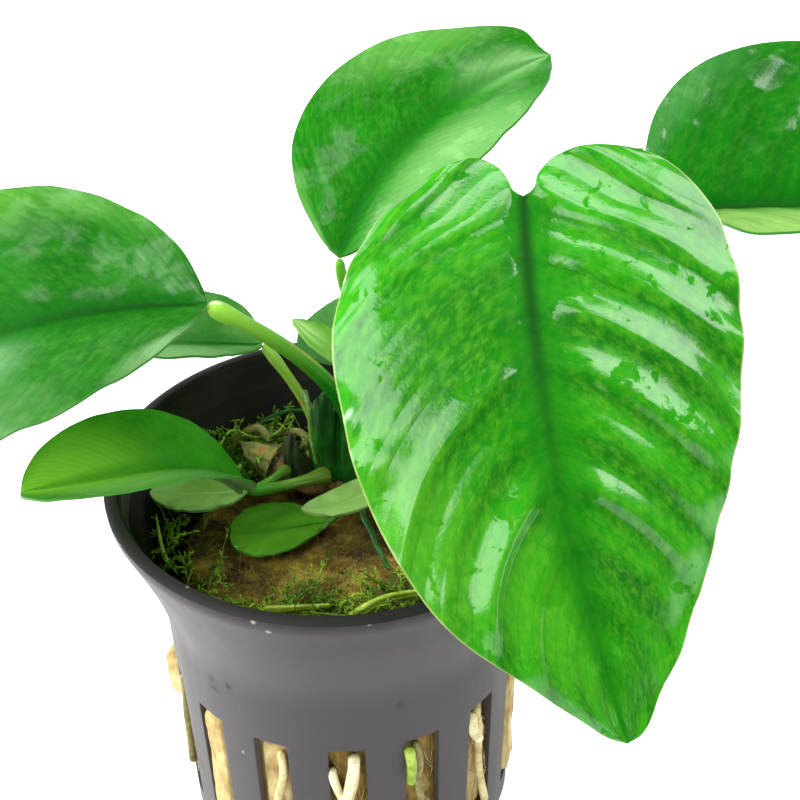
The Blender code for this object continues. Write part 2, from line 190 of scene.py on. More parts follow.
def spots(tree: Tree, chart: Feed, tints: Tints, core: float, most: float) -> list[tuple[Node, str]]:
    """Makes layers that are soft round patches.

    Args:
        tree: The node tree that takes them.
        chart: The map that the patches are placed on.
        tints: The patches.
        core: Which part of a patch's size has its full share.
        most: The full share.

    Returns:
        The layers, each a share and a colour.
    """
    return shares(tree, [(add_node(tree, "VectorMath", chart, (x, y, 0.0), **AWAY), size, size * core,
                          most, code) for x, y, size, code in tints])


def per_mm(size: float) -> float:
    """The texture scale on Object coordinates that gives features of a size in millimetres."""
    return 1 / (size * MM)


def start_material(name: str) -> tuple[Material, Tree, Node, Feed, Feed]:
    """Makes an empty Principled material.

    Args:
        name: What the real material is.

    Returns:
        The material, its tree, its Principled node, and its Object and UV coordinates.
    """
    material = bpy.data.materials.new(name)
    material.use_nodes = True
    tree = material.node_tree
    where = add_node(tree, "TexCoord")
    return material, tree, tree.nodes["Principled BSDF"], where.outputs["Object"], where.outputs["UV"]


# ---------------------------------------------------------------- finishes

@dataclass(frozen=True)
class LeafSkin:
    """Living anubias leaf: a tough waxy cuticle over green tissue, with a thin film of water.

    The eye sees green that is yellower on the puckers and deeper along the veins, partly the
    tissue's own tone and partly painted light and shade of the relief; a mottling of small cells;
    a pale sheen where the film lies; and bare patches with ragged edges where it has drawn back,
    painted deeper as painted shade where the sheen is missing.  Pale patches of painted sheen can
    be laid over the upper face.  tints are patches of another green on the blade's map, with across
    from -1 at the left edge to 1 at the right; on some leaves they are painted sheen, on others
    painted backlight.
    """

    name: str
    deep: str
    bright: str
    cell: str = "#7FBE3A"
    rib: str = "#123E12"
    pale: str = "#8FBF7A"
    under: str = "#6E9A58"
    margin: str = "#3F7A2A"
    sheen: str = "#B0F0B0"
    bare: float = 0.4
    patch_mm: float = 4.5
    film_roughness: float = 0.16
    film_edge: float = 0.045
    wax_roughness: float = 0.4
    cell_mm: float = 0.8
    cell_share: float = 0.06
    # How much darker the veins are and lighter the puckers: the veins' own deeper green together with
    # painted shade and painted light of the relief.
    vein_tone_and_shade: float = 0.06
    # The share of pale patches of painted sheen over the upper face.
    sheen_level: float = 0.0
    vein_first: float = 0.26
    vein_step: float = 0.1
    vein_drift: float = 0.19
    rib_width: float = 0.06
    tints: Tints = ()

    # How a side vein bends towards the tip on its way out, as a power of the way.
    VEIN_BEND = 1.15
    # How many streaks there are along the whole midrib, and how often they break across the blade.
    STREAKS = (56.0, 34.0, 1.0)
    FILM_IOR = 1.58
    DULL_ROUGHNESS = 0.45

    def upper(self) -> Material:
        """Makes the material of the upper face, patterned on the blade's own map.

        Returns:
            The material.
        """
        material, tree, shader, body, chart = start_material(self.name + "_wet_cuticle")
        plan = add_node(tree, "SeparateXYZ", chart)
        along = plan.outputs["Y"]
        half = add_node(tree, "Math", add_node(tree, "Math", plan, 0.5, **MINUS), operation="ABSOLUTE")
        out = add_node(tree, "Math", half, 2.0, **TIMES)
        bend = add_node(tree, "Math", out, self.VEIN_BEND, operation="POWER")
        bend = add_node(tree, "Math", bend, -self.vein_drift, along, **TIMES_PLUS)
        vein = add_node(tree, "Math", bend, self.vein_first, **MINUS)
        pillow = self.arches(tree, vein, self.vein_step)
        minor = self.arches(tree, vein, self.vein_step / 3)

        broad, fine, grain, blots = (
            add_node(tree, "TexNoise", body, per_mm(size), detail, **WANDER)
            for size, detail in ((9.0, 3.0), (1.6, 5.0), (0.35, 2.0), (self.patch_mm, 5.0)))
        drift = add_node(tree, "TexNoise", body, per_mm(1.4)).outputs["Color"]
        drift = add_node(tree, "VectorMath", drift, (0.9 * MM,) * 3, body, **TIMES_PLUS)
        cells = add_node(tree, "TexVoronoi", drift, per_mm(self.cell_mm), **EDGES)
        # The film runs off the steep midrib first, so that there is more bare skin beside it.
        high = add_node(tree, "MapRange", along, 0.15, 0.45, 0.4, 1.0, **SMOOTH)
        steep = add_node(tree, "MapRange", out, 0.0, 0.5, 0.19, 0.0, **SMOOTH)
        beside = add_node(tree, "MapRange", out, 0.02, 0.14, 0.16, 0.0, **SMOOTH)
        steep = add_node(tree, "Math", steep, high, beside, **TIMES_PLUS)
        depth = add_node(tree, "Math", blots, steep)
        edge = 0.5 + 0.36 * (0.5 - self.bare)
        bare = add_node(tree, "MapRange", depth, edge, edge + self.film_edge, **SMOOTH)

        # The puckers are painted lighter and the veins' valleys darker: partly the veins' own deeper green,
        # partly painted light and shade of the relief.
        lit = add_node(tree, "Math", pillow, self.vein_tone_and_shade, -0.5 * self.vein_tone_and_shade, **TIMES_PLUS)
        lit = add_node(tree, "Math", fine, 0.5, add_node(tree, "Math", lit, broad), **TIMES_PLUS)
        # Paler streaks run along the side veins, about 1 mm apart, with soft cells over them.
        course = add_node(tree, "CombineXYZ", vein, plan)
        course = add_node(tree, "VectorMath", course, self.STREAKS, **TIMES)
        streaks = add_node(tree, "TexNoise", course, 1.0, 5.0, 0.68)
        patchy = add_node(tree, "MapRange", fine, 0.38, 0.6, 0.0, 0.4 * self.cell_share, **SMOOTH)
        strong = add_node(tree, "MapRange", along, 0.1, 0.65, 0.85, 0.2, **SMOOTH)
        tints = [(0.5 + across / 2, *rest) for across, *rest in self.tints]
        layers = (shares(tree, [(lit, 0.5, 1.05, 1.0, self.bright)])
                  + spots(tree, chart, tints, 0.25, 0.8)
                  # Pale patches of painted sheen.
                  + shares(tree, [(broad, 0.35, 0.65, self.sheen_level, self.pale),
                                  (streaks, 0.38, 0.74, 2.4 * self.cell_share, self.cell),
                                  (cells, 0.02, 0.3, patchy, self.cell),
                                  # The small veins, the band beside the midrib and the midrib itself are
                                  # painted deeper: partly their own darker green, partly painted shade in
                                  # their grooves.
                                  (minor, 0.22, 0.0, 0.3, self.deep),
                                  # Bare patches are painted deeper, as painted shade where the film's sheen
                                  # is missing.
                                  (bare, 0.0, 1.0, 0.3, self.deep),
                                  (out, 0.25, 0.04, 0.6, self.deep),
                                  (out, self.rib_width, 0.0, strong, self.rib),
                                  (out, 0.985, 0.998, 0.7, self.margin)]))

        # The wax alone is dull; the film over it is a clear coat that lacks where the skin is bare.
        feed(tree, shader, {
            "Base Color": layer(tree, self.deep, layers),
            "Roughness": add_node(tree, "MapRange", fine, 0.3, 0.7, self.wax_roughness - 0.06,
                                  self.wax_roughness + 0.1),
            "Coat Weight": add_node(tree, "MapRange", bare, 0.0, 1.0, 1.0, 0.0, **SMOOTH),
            "Coat Roughness": self.film_roughness, "Coat IOR": self.FILM_IOR,
            "Specular IOR Level": 0.07, "Specular Tint": self.sheen})
        # Fine veins, cells and wax grain stand out by hundredths of a millimetre, and the film
        # fills the finest of them.
        for target, reliefs in (("Normal", (0.026, 0.03, 0.03, 0.018, -0.01)),
                                ("Coat Normal", (0.012, 0.024, 0.014, 0.004, -0.003))):
            bumps = None
            for height, relief in zip((cells, minor, fine, grain, bare), reliefs):
                bumps = add_node(tree, "Bump", 1.0, relief * MM, Height=height, Normal=bumps)
            feed(tree, shader, {target: bumps})
        return material

    def arches(self, tree: Tree, vein: Feed, step: float) -> Node:
        """Makes a row of arches between veins.

        Args:
            tree: The material's tree.
            vein: The coordinate that counts along the midrib.
            step: How far apart the veins are on it.

        Returns:
            A value of 0 on each vein and 1 midway between two.
        """
        turn = add_node(tree, "Math", vein, math.pi / step, **TIMES)
        return add_node(tree, "Math", add_node(tree, "Math", turn, operation="SINE"), operation="ABSOLUTE")

    def lower(self) -> Material:
        """Makes the material of the underside: duller and paler, with a net of fine veins.

        Returns:
            The material.
        """
        material, tree, shader, body, _ = start_material(self.name + "_leaf_underside")
        broad = add_node(tree, "TexNoise", body, per_mm(7.0), 4.0, **WANDER)
        cells = add_node(tree, "TexVoronoi", body, per_mm(self.cell_mm), **EDGES)
        layers = [(broad, self.pale), *shares(tree, [(cells, 0.12, 0.0, 0.35, self.cell)])]
        feed(tree, shader, {"Base Color": layer(tree, self.under, layers),
                            "Normal": add_node(tree, "Bump", 1.0, 0.04 * MM, Height=cells),
                            "Roughness": self.DULL_ROUGHNESS})
        return material

    def rim(self) -> Material:
        """Makes the material of the leaf's thin edge, where the tissue is nearly colourless.

        Returns:
            The material.
        """
        material, tree, shader, body, _ = start_material(self.name + "_leaf_margin")
        broad = add_node(tree, "TexNoise", body, per_mm(3.0), 3.0, **WANDER)
        feed(tree, shader, {"Base Color": layer(tree, self.margin, [(broad, self.bright)]),
                            "Roughness": self.DULL_ROUGHNESS})
        return material


@dataclass(frozen=True)
class StalkSkin:
    """Leaf stalk: a smooth waxy skin, pale and sheathed at its foot and green at its top."""

    name: str
    foot: str
    middle: str
    top: str
    streak: str = "#C9CF7E"
    scar: str = "#9A5A22"
    scars: float = 0.25
    # On the stalk's map across runs round it and is 0.5 on the side that faces up.
    tints: Tints = ()

    def skin(self) -> Material:
        """Makes the material; it reads the stalk's own map, which runs round it and along it.

        Returns:
            The material.
        """
        material, tree, shader, body, chart = start_material(self.name + "_stalk_skin")
        along = add_node(tree, "SeparateXYZ", chart).outputs["Y"]
        ramp = add_node(tree, "ValToRGB", along,
                        stops=((0.05, self.foot), (0.45, self.middle), (0.95, self.top)))
        drawn_out = add_node(tree, "Mapping", chart, Scale=(9.0, 1.6, 1.0))
        fibres = add_node(tree, "TexNoise", drawn_out, 2.0, 4.0, 0.6)
        blots = add_node(tree, "TexNoise", body, per_mm(2.6), 2.0)
        low = add_node(tree, "MapRange", along, 0.8, 0.1, 0.0, 0.16, **SMOOTH)
        near = add_node(tree, "Math", blots, low)
        edge = 0.86 - self.scars * 0.4
        layers = (shares(tree, [(fibres, 0.52, 0.78, 0.6, self.streak)])
                  + spots(tree, chart, self.tints, 0.4, 1.0)
                  + shares(tree, [(near, edge, edge + 0.12, 0.8, self.scar)]))
        feed(tree, shader, {"Base Color": layer(tree, ramp, layers),
                            "Normal": add_node(tree, "Bump", 0.8, 0.08 * MM, Height=fibres),
                            "Roughness": add_node(tree, "MapRange", blots, 0.35, 0.65, 0.25, 0.45),
                            "Specular IOR Level": 0.25, "Specular Tint": "#C8F0A8"})
        return material


@dataclass(frozen=True)
class Mottled:
    """A natural skin or fibre whose colour wanders through a few tones, with a rough relief.

    It serves the rhizome's bark, the roots, the mineral wool and its fibres and the moss: each
    gives the eye a wandering colour at one size, a grain at a smaller one, and little gloss.
    """

    name: str
    stops: Stops
    patch_mm: float = 3.0
    grain_mm: float = 0.5
    relief_mm: float = 0.03
    roughness: float = 0.5
    stretch: Triple = (1.0, 1.0, 1.0)
    fleck: str = ""
    fleck_share: float = 0.0

    def skin(self) -> Material:
        """Makes the material on Object coordinates.

        Returns:
            The material.
        """
        material, tree, shader, body, _ = start_material(self.name)
        stretched = add_node(tree, "Mapping", body, Scale=self.stretch)
        patch = add_node(tree, "TexNoise", body, per_mm(self.patch_mm), 3.0, 0.6)
        grain = add_node(tree, "TexNoise", stretched, per_mm(self.grain_mm), 5.0, 0.7)
        spread = add_node(tree, "MapRange", add_node(tree, "Mix", 0.38, patch, grain), 0.34, 0.66)
        colour = add_node(tree, "ValToRGB", spread, stops=self.stops)
        if self.fleck:
            bits = add_node(tree, "TexNoise", body, per_mm(self.patch_mm * 0.6), 2.0)
            edge = 0.72 - 0.3 * self.fleck_share
            colour = layer(tree, colour, shares(tree, [(bits, edge, edge + 0.06, 1.0, self.fleck)]))
        feed(tree, shader, {"Base Color": colour, "Roughness": self.roughness,
                            "Normal": add_node(tree, "Bump", 1.0, self.relief_mm * MM, Height=grain)})
        return material


@dataclass(frozen=True)
class PotPlastic:
    """Charcoal polypropylene, injection moulded: an even satin grey with faint flow marks.

    The eye sees a soft sheen, a few scuffs and specks of dirt, and a darker band on the flare under the lip
    that is painted shade.
    """

    name: str
    wall: str
    painted_band: str
    scuff: str
    roughness: float
    painted_band_mm: float = 41.5
    dirt: float = 0.5
    sheen_level: float = 0.0
    # Smudges, each (place in millimetres, size, colour).
    marks: tuple[tuple[Triple, float, str], ...] = ()

    def skin(self) -> Material:
        """Makes the material; the band of painted shade follows the height on the pot.

        Returns:
            The material.
        """
        material, tree, shader, body, _ = start_material(self.name)
        height = add_node(tree, "SeparateXYZ", body).outputs["Z"]
        cloud = add_node(tree, "TexNoise", body, per_mm(22.0), 3.0)
        wander = add_node(tree, "Math", cloud, 2.0 * MM, height, **TIMES_PLUS)
        # Flow marks run up the wall, about 3 mm apart, and scuffs are about half a millimetre.
        upright = add_node(tree, "Mapping", body, Scale=(1.0, 1.0, 0.12))
        flow = add_node(tree, "TexNoise", upright, per_mm(3.0), 3.0)
        # The flare under the lip is painted darker outside, as painted shade; inside, the same band is
        # painted a little lighter, as painted light near the top.
        layers = shares(tree, [(wander, (self.painted_band_mm - 6.0) * MM, (self.painted_band_mm + 5.0) * MM, 1.0,
                                self.painted_band)])
        layers.append((add_node(tree, "MapRange", flow, 0.35, 0.65, 0.0, 0.2), self.scuff))
        shifted = add_node(tree, "TexNoise", body, per_mm(1.0))
        for place, size, code in self.marks:
            away = add_node(tree, "VectorMath", body, tuple(value * MM for value in place), **AWAY)
            ragged = add_node(tree, "Math", shifted, size * MM, away, **TIMES_PLUS)
            layers += shares(tree, [(ragged, size * 1.5 * MM, size * 0.6 * MM, 0.8, code)])
        specks = add_node(tree, "TexVoronoi", body, per_mm(4.2))
        chance = add_node(tree, "SeparateColor", specks.outputs["Color"])
        for least, code in ((0.9 - 0.1 * self.dirt, "#2A2426"), (0.95 - 0.05 * self.dirt, "#B9A58A")):
            rare = add_node(tree, "MapRange", chance, least, least + 0.01)
            layers += shares(tree, [(specks, 0.1, 0.05, rare, code)])
        grain = add_node(tree, "TexNoise", body, per_mm(0.5), 2.0)
        # Handling has left a haze on the plastic that lightens it where it turns away.
        feed(tree, shader, {"Base Color": layer(tree, self.wall, layers),
                            "Roughness": add_node(tree, "MapRange", flow, 0.3, 0.7,
                                                  self.roughness - 0.06, self.roughness + 0.08),
                            "Normal": add_node(tree, "Bump", 1.0, 0.02 * MM, Height=grain),
                            "IOR": 1.49, "Specular IOR Level": 0.2,
                            "Sheen Weight": self.sheen_level, "Sheen Roughness": 0.45})
        return material


# The skins and fibres of the plant and the wool, each with the tones that its colour takes.
BARK = Mottled(
    "rhizome_bark", ((0.0, "#3A2716"), (0.4, "#7A5638"), (0.7, "#B08A62"), (1.0, "#8C9A52")), grain_mm=0.7,
    relief_mm=0.25, fleck="#C46A2A", fleck_share=0.35)
DAMP_CROWN = Mottled(
    "damp_wool_top", ((0.0, "#1E1406"), (0.3, "#4E360E"), (0.6, "#82681A"), (1.0, "#B09A3C")),
    patch_mm=4.0, grain_mm=0.6, relief_mm=0.35, roughness=0.85, fleck="#4E5A10", fleck_share=0.3)
CREAM_WOOL = Mottled(
    "matted_cream_wool", ((0.0, "#725A2C"), (0.3, "#A48A52"), (0.65, "#C2AC72"), (1.0, "#DCCE9A")),
    patch_mm=5.0, grain_mm=0.7, relief_mm=0.25, roughness=0.85, stretch=(1.0, 1.0, 0.3))
BROWN_WOOL = Mottled(
    "damp_brown_wool", ((0.0, "#44340E"), (0.4, "#7A6222"), (0.8, "#A88C3E"), (1.0, "#C8B068")),
    patch_mm=4.0, grain_mm=0.7, relief_mm=0.3, roughness=0.85, stretch=(1.0, 1.0, 0.3))
ROOT_SKIN = Mottled(
    "damp_root_skin", ((0.0, "#3E3A18"), (0.5, "#7E7438"), (1.0, "#B0A86C")), relief_mm=0.08,
    roughness=0.45)
SLOT_ROOT_SKIN = Mottled(
    "pale_root_skin", ((0.0, "#A08A48"), (0.5, "#D4C288"), (1.0, "#EFE4BC")), relief_mm=0.08)
DAMP_FIBRE = Mottled(
    "damp_mineral_wool_fibre", ((0.0, "#3E3008"), (0.5, "#84701E"), (1.0, "#BCA858")), patch_mm=4.0,
    grain_mm=0.8, relief_mm=0.0, roughness=0.7)
WOOL_FIBRE = Mottled(
    "loose_mineral_wool_fibre", ((0.0, "#8A7240"), (0.5, "#C4AC70"), (1.0, "#EADFB8")), grain_mm=0.8,
    relief_mm=0.02, roughness=0.7)
MOSS_SKIN = Mottled(
    "wet_moss", ((0.0, "#2F4A08"), (0.45, "#5E8A12"), (0.8, "#9ABE2E"), (1.0, "#C8D85A")), patch_mm=4.0,
    grain_mm=0.8)
GREEN_SHEATH = Mottled(
    "green_leaf_sheath", ((0.0, "#073408"), (0.5, "#0B4C0B"), (1.0, "#1C7416")), patch_mm=4.0,
    grain_mm=0.8, relief_mm=0.06, roughness=0.4, stretch=(1.0, 1.0, 0.2))
DRY_SHEATH = Mottled(
    "dry_papery_sheath", ((0.0, "#2E2C10"), (0.35, "#66662C"), (0.7, "#98944E"), (0.9, "#B06A24")),
    patch_mm=2.5, relief_mm=0.1, roughness=0.7, stretch=(1.0, 1.0, 0.25))
# A near-black green sheath deep in the crown.
NEAR_BLACK_SHEATH = Mottled(
    "near_black_leaf_sheath", ((0.0, "#0E1404"), (0.5, "#1E2A0A"), (1.0, "#3A4416")), patch_mm=2.5,
    relief_mm=0.1, stretch=(1.0, 1.0, 0.25))
STRIP_SKIN = Mottled(
    "yellow_green_strip", ((0.0, "#5A7A10"), (0.5, "#9AB82E"), (1.0, "#C8DC6A")), patch_mm=2.5,
    relief_mm=0.04, roughness=0.45)
# The strip's colours again, darker and duller.
DULL_STRIP = Mottled(
    "dull_dark_green_strip", ((0.0, "#2E4A12"), (0.5, "#4E7A24"), (1.0, "#86A850")), patch_mm=2.5,
    relief_mm=0.04)
DARK_STEM = Mottled(
    "dark_green_stem", ((0.0, "#0E3A08"), (0.6, "#1E6412"), (1.0, "#3E8A20")), grain_mm=0.6, roughness=0.4)
WHITE_ROOT = Mottled(
    "young_white_root", ((0.0, "#B8A868"), (0.5, "#E6DCB0"), (1.0, "#F6F0D8")), patch_mm=2.5,
    relief_mm=0.05, roughness=0.45)


# ---------------------------------------------------------------- shaping

def deselect_all() -> None:
    """Leaves nothing selected, so that an operator acts on the new piece alone."""
    if bpy.context.object is not None and bpy.context.object.mode != "OBJECT":
        bpy.ops.object.mode_set(mode="OBJECT")
    bpy.ops.object.select_all(action="DESELECT")


def activate(piece: Piece) -> None:
    """Selects one piece alone and makes it the active one.

    Args:
        piece: The piece.
    """
    deselect_all()
    piece.select_set(True)
    bpy.context.view_layer.objects.active = piece


def ease(value: Array) -> Array:
    """A smooth step from 0 at 0 to 1 at 1."""
    held = np.clip(value, 0.0, 1.0)
    return held * held * (3 - 2 * held)


def swell(points: Array, size: float, seed: int) -> Array:
    """A gentle random relief.

    Args:
        points: Places in millimetres, one in each row.
        size: The width of a swelling in millimetres.
        seed: Picks the relief.

    Returns:
        A height for each point, mostly between -1 and 1.
    """
    rng = np.random.default_rng(seed)
    waves = unit(rng.normal(size=(10, points.shape[1])))
    waves *= 2 * math.pi / (2.2 * size) * rng.uniform(0.6, 1.5, 10)[:, None]
    phases = rng.uniform(0, 2 * math.pi, 10)
    return np.sin(points @ waves.T + phases).sum(axis=1) / math.sqrt(10)


def unit(vectors: Array) -> Array:
    """The directions of vectors, one in each row."""
    return vectors / np.linalg.norm(vectors, axis=-1, keepdims=True)


def ring(radius: Array | float, angle: Array | float, height: Array | float) -> Array:
    """The points at distances and angles from the pot's axis and at heights, one in each row."""
    return np.stack([radius * np.cos(angle), radius * np.sin(angle), height], axis=-1)


def look_up(t: Array, marks: Array, table: Array) -> Array:
    """Reads a table's columns at places between the marks of its rows."""
    return np.stack([np.interp(t, marks, column) for column in table.T], axis=1)


def smooth_mesh(piece: Piece, merge: float = 0.0, solid: bool = True) -> Piece:
    """Welds a new piece's seams and smooths its faces.

    Args:
        piece: The piece.
        merge: Points nearer than this, in metres, become one.
        solid: Whether it is a closed skin, whose faces are turned outwards.

    Returns:
        The piece.
    """
    activate(piece)
    bpy.ops.object.mode_set(mode="EDIT")
    bpy.ops.mesh.select_all(action="SELECT")
    if merge > 0:
        bpy.ops.mesh.remove_doubles(threshold=merge)
    if solid:
        bpy.ops.mesh.normals_make_consistent(inside=False)
    bpy.ops.object.mode_set(mode="OBJECT")
    bpy.ops.object.shade_smooth()
    return piece


def lay_grid(name: str, columns: int, rows: int, place: Place, closed: bool = False) -> Piece:
    """Adds a flat grid and moves each of its points to its place on a curved surface.

    Args:
        name: The piece's name.
        columns: How many faces across, in u.
        rows: How many faces along, in v.
        place: Gives points in millimetres from u and v, which run from 0 to 1.
        closed: Whether the surface closes on itself, so that its seams merge to a solid skin.

    Returns:
        The piece, with the grid's own u and v as its map.
    """
    deselect_all()
    bpy.ops.mesh.primitive_grid_add(x_subdivisions=columns, y_subdivisions=rows, size=2)
    piece = bpy.context.object
    piece.name = name
    piece.data.name = name
    flat = np.empty(len(piece.data.vertices) * 3)
    piece.data.vertices.foreach_get("co", flat)
    flat = (flat.reshape(-1, 3) + 1) / 2
    bent = place(flat[:, 0], flat[:, 1]) * MM
    piece.data.vertices.foreach_set("co", np.ascontiguousarray(bent, dtype=np.float32).ravel())
    return smooth_mesh(piece, SEAM_MERGE if closed else SHEET_MERGE, closed)


def apply_modifier(piece: Piece, kind: str, **settings: object) -> None:
    """Adds a modifier with its settings and applies it.

    Args:
        piece: The piece it shapes.
        kind: The modifier's type.
        settings: Its properties.
    """
    activate(piece)
    modifier = piece.modifiers.new(kind.title(), kind)
    for key, value in settings.items():
        setattr(modifier, key, value)
    bpy.ops.object.modifier_apply(modifier=modifier.name)


def join(pieces: list[Piece], name: str) -> Piece:
    """Joins pieces to one object.

    Args:
        pieces: The pieces; the first one stays.
        name: The name of the joined piece.

    Returns:
        The joined piece.
    """
    activate(pieces[0])
    for piece in pieces[1:]:
        piece.select_set(True)
    if len(pieces) > 1:
        bpy.ops.object.join()
    pieces[0].name = name
    pieces[0].data.name = name
    return pieces[0]


def dress(piece: Piece, *materials: Material) -> Piece:
    """Puts materials on a piece and gives it back.

    Args:
        piece: The piece.
        materials: Its materials, in the order of its slots.

    Returns:
        The same piece.
    """
    for material in materials:
        piece.data.materials.append(material)
    return piece


def hand_over(piece: Piece, slot: Slot, *nodes: str) -> None:
    """Puts a finished piece on the object in place of its CAD nodes.

    Args:
        piece: The finished piece.
        slot: The record's material slot for the piece; not used.
        nodes: The CAD nodes that it stands for.
    """
    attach(piece, ROOT)
    if nodes:
        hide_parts(*nodes)
    log.info("%s: %d faces", piece.name, len(piece.data.polygons))


def smooth_curve(points: Array, count: int) -> Array:
    """Evenly spaced points on a smooth curve through given ones.

    Args:
        points: The given points, one in each row.
        count: How many points to return.

    Returns:
        The points, one in each row.
    """
    ends = np.vstack([2 * points[0] - points[1], points, 2 * points[-1] - points[-2]])
    t = np.linspace(0, 1, 13)[:-1, None]
    dense = []
    for a, b, c, d in zip(ends, ends[1:], ends[2:], ends[3:]):
        dense.append(0.5 * (2 * b + (c - a) * t + (2 * a - 5 * b + 4 * c - d) * t * t
                            + (3 * b - a - 3 * c + d) * t ** 3))
    dense = np.vstack([*dense, points[-1:]])
    runs = np.concatenate([[0.0], np.cumsum(np.linalg.norm(np.diff(dense, axis=0), axis=1))])
    return look_up(np.linspace(0, runs[-1], count), runs, dense)


class Path:
    """A smooth line in space with directions that don't twist along it."""

    # Where along the line the direction is read that faces up.
    TOP_AT = 0.6

    def __init__(self, line: Array) -> None:
        """Reads the directions off a dense line.

        Args:
            line: Evenly spaced points in millimetres.
        """
        self.line = line
        self.marks = np.linspace(0, 1, len(line))
        self.along = unit(np.gradient(line, axis=0))
        side = np.cross(self.along[0], (0.0, 0.0, 1.0))
        if np.linalg.norm(side) < 0.1:
            side = np.cross(self.along[0], (0.0, 1.0, 0.0))
        sides = []
        for direction in self.along:
            side = unit(side - direction * np.dot(side, direction))
            sides.append(side)
        self.side = np.array(sides)
        self.over = np.cross(self.side, self.along)
        middle = int(len(line) * self.TOP_AT)
        self.top_angle = math.atan2(self.over[middle, 2], self.side[middle, 2])
        self.length = float(np.linalg.norm(np.diff(line, axis=0), axis=1).sum())

    def at(self, table: Array, t: Array) -> Array:
        """Reads one of the line's tables at fractions of its length."""
        return look_up(t, self.marks, table)

    def around(self, t: Array, angle: Array, radius: Array) -> Array:
        """The points at an angle and a distance from the line.

        Args:
            t: Fractions of the line's length.
            angle: Angles around it.
            radius: Distances from it.

        Returns:
            The points.
        """
        side = self.at(self.side, t) * np.cos(angle)[:, None]
        over = self.at(self.over, t) * np.sin(angle)[:, None]
        return self.at(self.line, t) + (side + over) * radius[:, None]


def lay_tube(name: str, path: Path, radius: Callable[[Array, Array], Array],
             sides: int = 14, rows: int = 60) -> Piece:
    """Wraps a grid round a line to a tube with rounded, closed ends.

    Args:
        name: The piece's name.
        path: The line.
        radius: Gives the radius in millimetres at fractions of the length and at angles.
        sides: How many faces around.
        rows: How many faces along.

    Returns:
        The tube.
    """
    def place(u: Array, v: Array) -> Array:
        """The tube's points, with its rows drawn together at both ends."""
        t = v - np.sin(2 * math.pi * v) / (2 * math.pi) * 0.75
        turn = 2 * math.pi * (u - 0.5)
        angle = turn + path.top_angle
        size = radius(t, turn)
        cap = np.clip(size.mean() / path.length, 0.004, 0.2)
        near = np.minimum(np.minimum(t, 1 - t) / cap, 1.0)
        return path.around(t, angle, size * np.sqrt(np.maximum(1 - (1 - near) ** 2, 0.0)))

    return lay_grid(name, sides, rows, place, closed=True)


# ---------------------------------------------------------------- leaves

@dataclass(frozen=True)
class Stalk:
    """Where a leaf stalk grows on the rhizome, and how it bends on its way to the blade.

    along is a share of the rhizome's length and around an angle in degrees from straight up
    towards the back.  The pulls say in millimetres which way and how far the stalk runs straight
    on from its foot and before its top.
    """

    along: float
    around: float
    radius: float
    start_pull: Triple
    end_pull: Triple = (0.0, 0.0, 0.0)


# The halves of the two blades that have outlines of their own, as (across, along) points.
HEART_LEFT = ((0.0, 0.0), (1.2, -1.0), (1.8, -3.0), (4.0, -5.4), (8.6, -6.5), (13.5, -5.8),
              (18.2, -2.8), (21.9, 3.4), (23.3, 13.5), (22.6, 23.0), (20.4, 33.0), (17.5, 42.0),
              (13.0, 50.8), (7.8, 56.8), (2.4, 62.3), (0.0, 63.0))
HEART_RIGHT = ((0.0, 0.0), (1.2, -0.8), (1.8, -2.4), (3.3, -4.2), (6.0, -4.9), (11.8, -2.4),
               (17.4, 2.8), (21.2, 11.0), (22.3, 18.5), (21.2, 30.0), (18.6, 38.8), (15.2, 45.8),
               (8.7, 53.2), (2.4, 60.8), (0.0, 63.0))
HEART_LOBE = 0.17
BLUNT_LEFT = ((0.0, 0.0), (3.0, 1.6), (8.6, 6.4), (12.4, 12.0), (14.3, 20.0), (13.6, 28.0),
              (9.6, 35.0), (6.2, 40.0), (2.0, 41.0), (0.0, 41.6))
BLUNT_RIGHT = ((0.0, 0.0), (3.0, 1.6), (9.0, 6.8), (13.3, 14.0), (14.3, 21.5), (13.6, 28.5),
               (10.5, 34.8), (5.7, 38.9), (0.0, 41.6))


@dataclass(frozen=True)
class Leaf:
    """One leaf: its midrib, the fold and width of its halves, its relief and its finishes.

    heading and pitch are degrees at the midrib's base, middle and tip.  fold is how steeply the
    left and right halves rise from it and curl how fast they bend back, in degrees each 10 mm.
    ridge is the height of the puckers between side veins and wave that of the edge's ripple.
    puckers gives the share of it that each pucker has, from the base on, in the left and the right
    half.  shape holds the powers by which the width grows at the base and shrinks at the tip, for
    a leaf without an outline of its own.  lobe is the share of that outline beside the notch, bank
    the whole blade's tilt in degrees, and a leaf that hangs is met by its stalk from below.
    """

    name: str
    base: Triple
    length: float
    heading: Triple
    pitch: Triple
    fold: tuple[float, float]
    stalk: Stalk
    skin: LeafSkin
    stalk_skin: StalkSkin
    slot: Slot = Slot.LEAF
    half_width: float = 0.0
    shape: tuple[float, float] = (0.6, 0.75)
    outline: tuple = ()
    lobe: float = 0.0
    curl: float = -6.0
    bank: float = 0.0
    hangs: bool = False
    columns: int = 40
    rows: int = 50
    ridge: float = 0.12
    puckers: tuple[tuple[float, ...], ...] = ()
    # How far the edges of the left and right half roll down, in millimetres.
    roll: tuple[float, float] = (0.0, 0.0)
    wave: float = 0.25
    thickness: float = 0.3


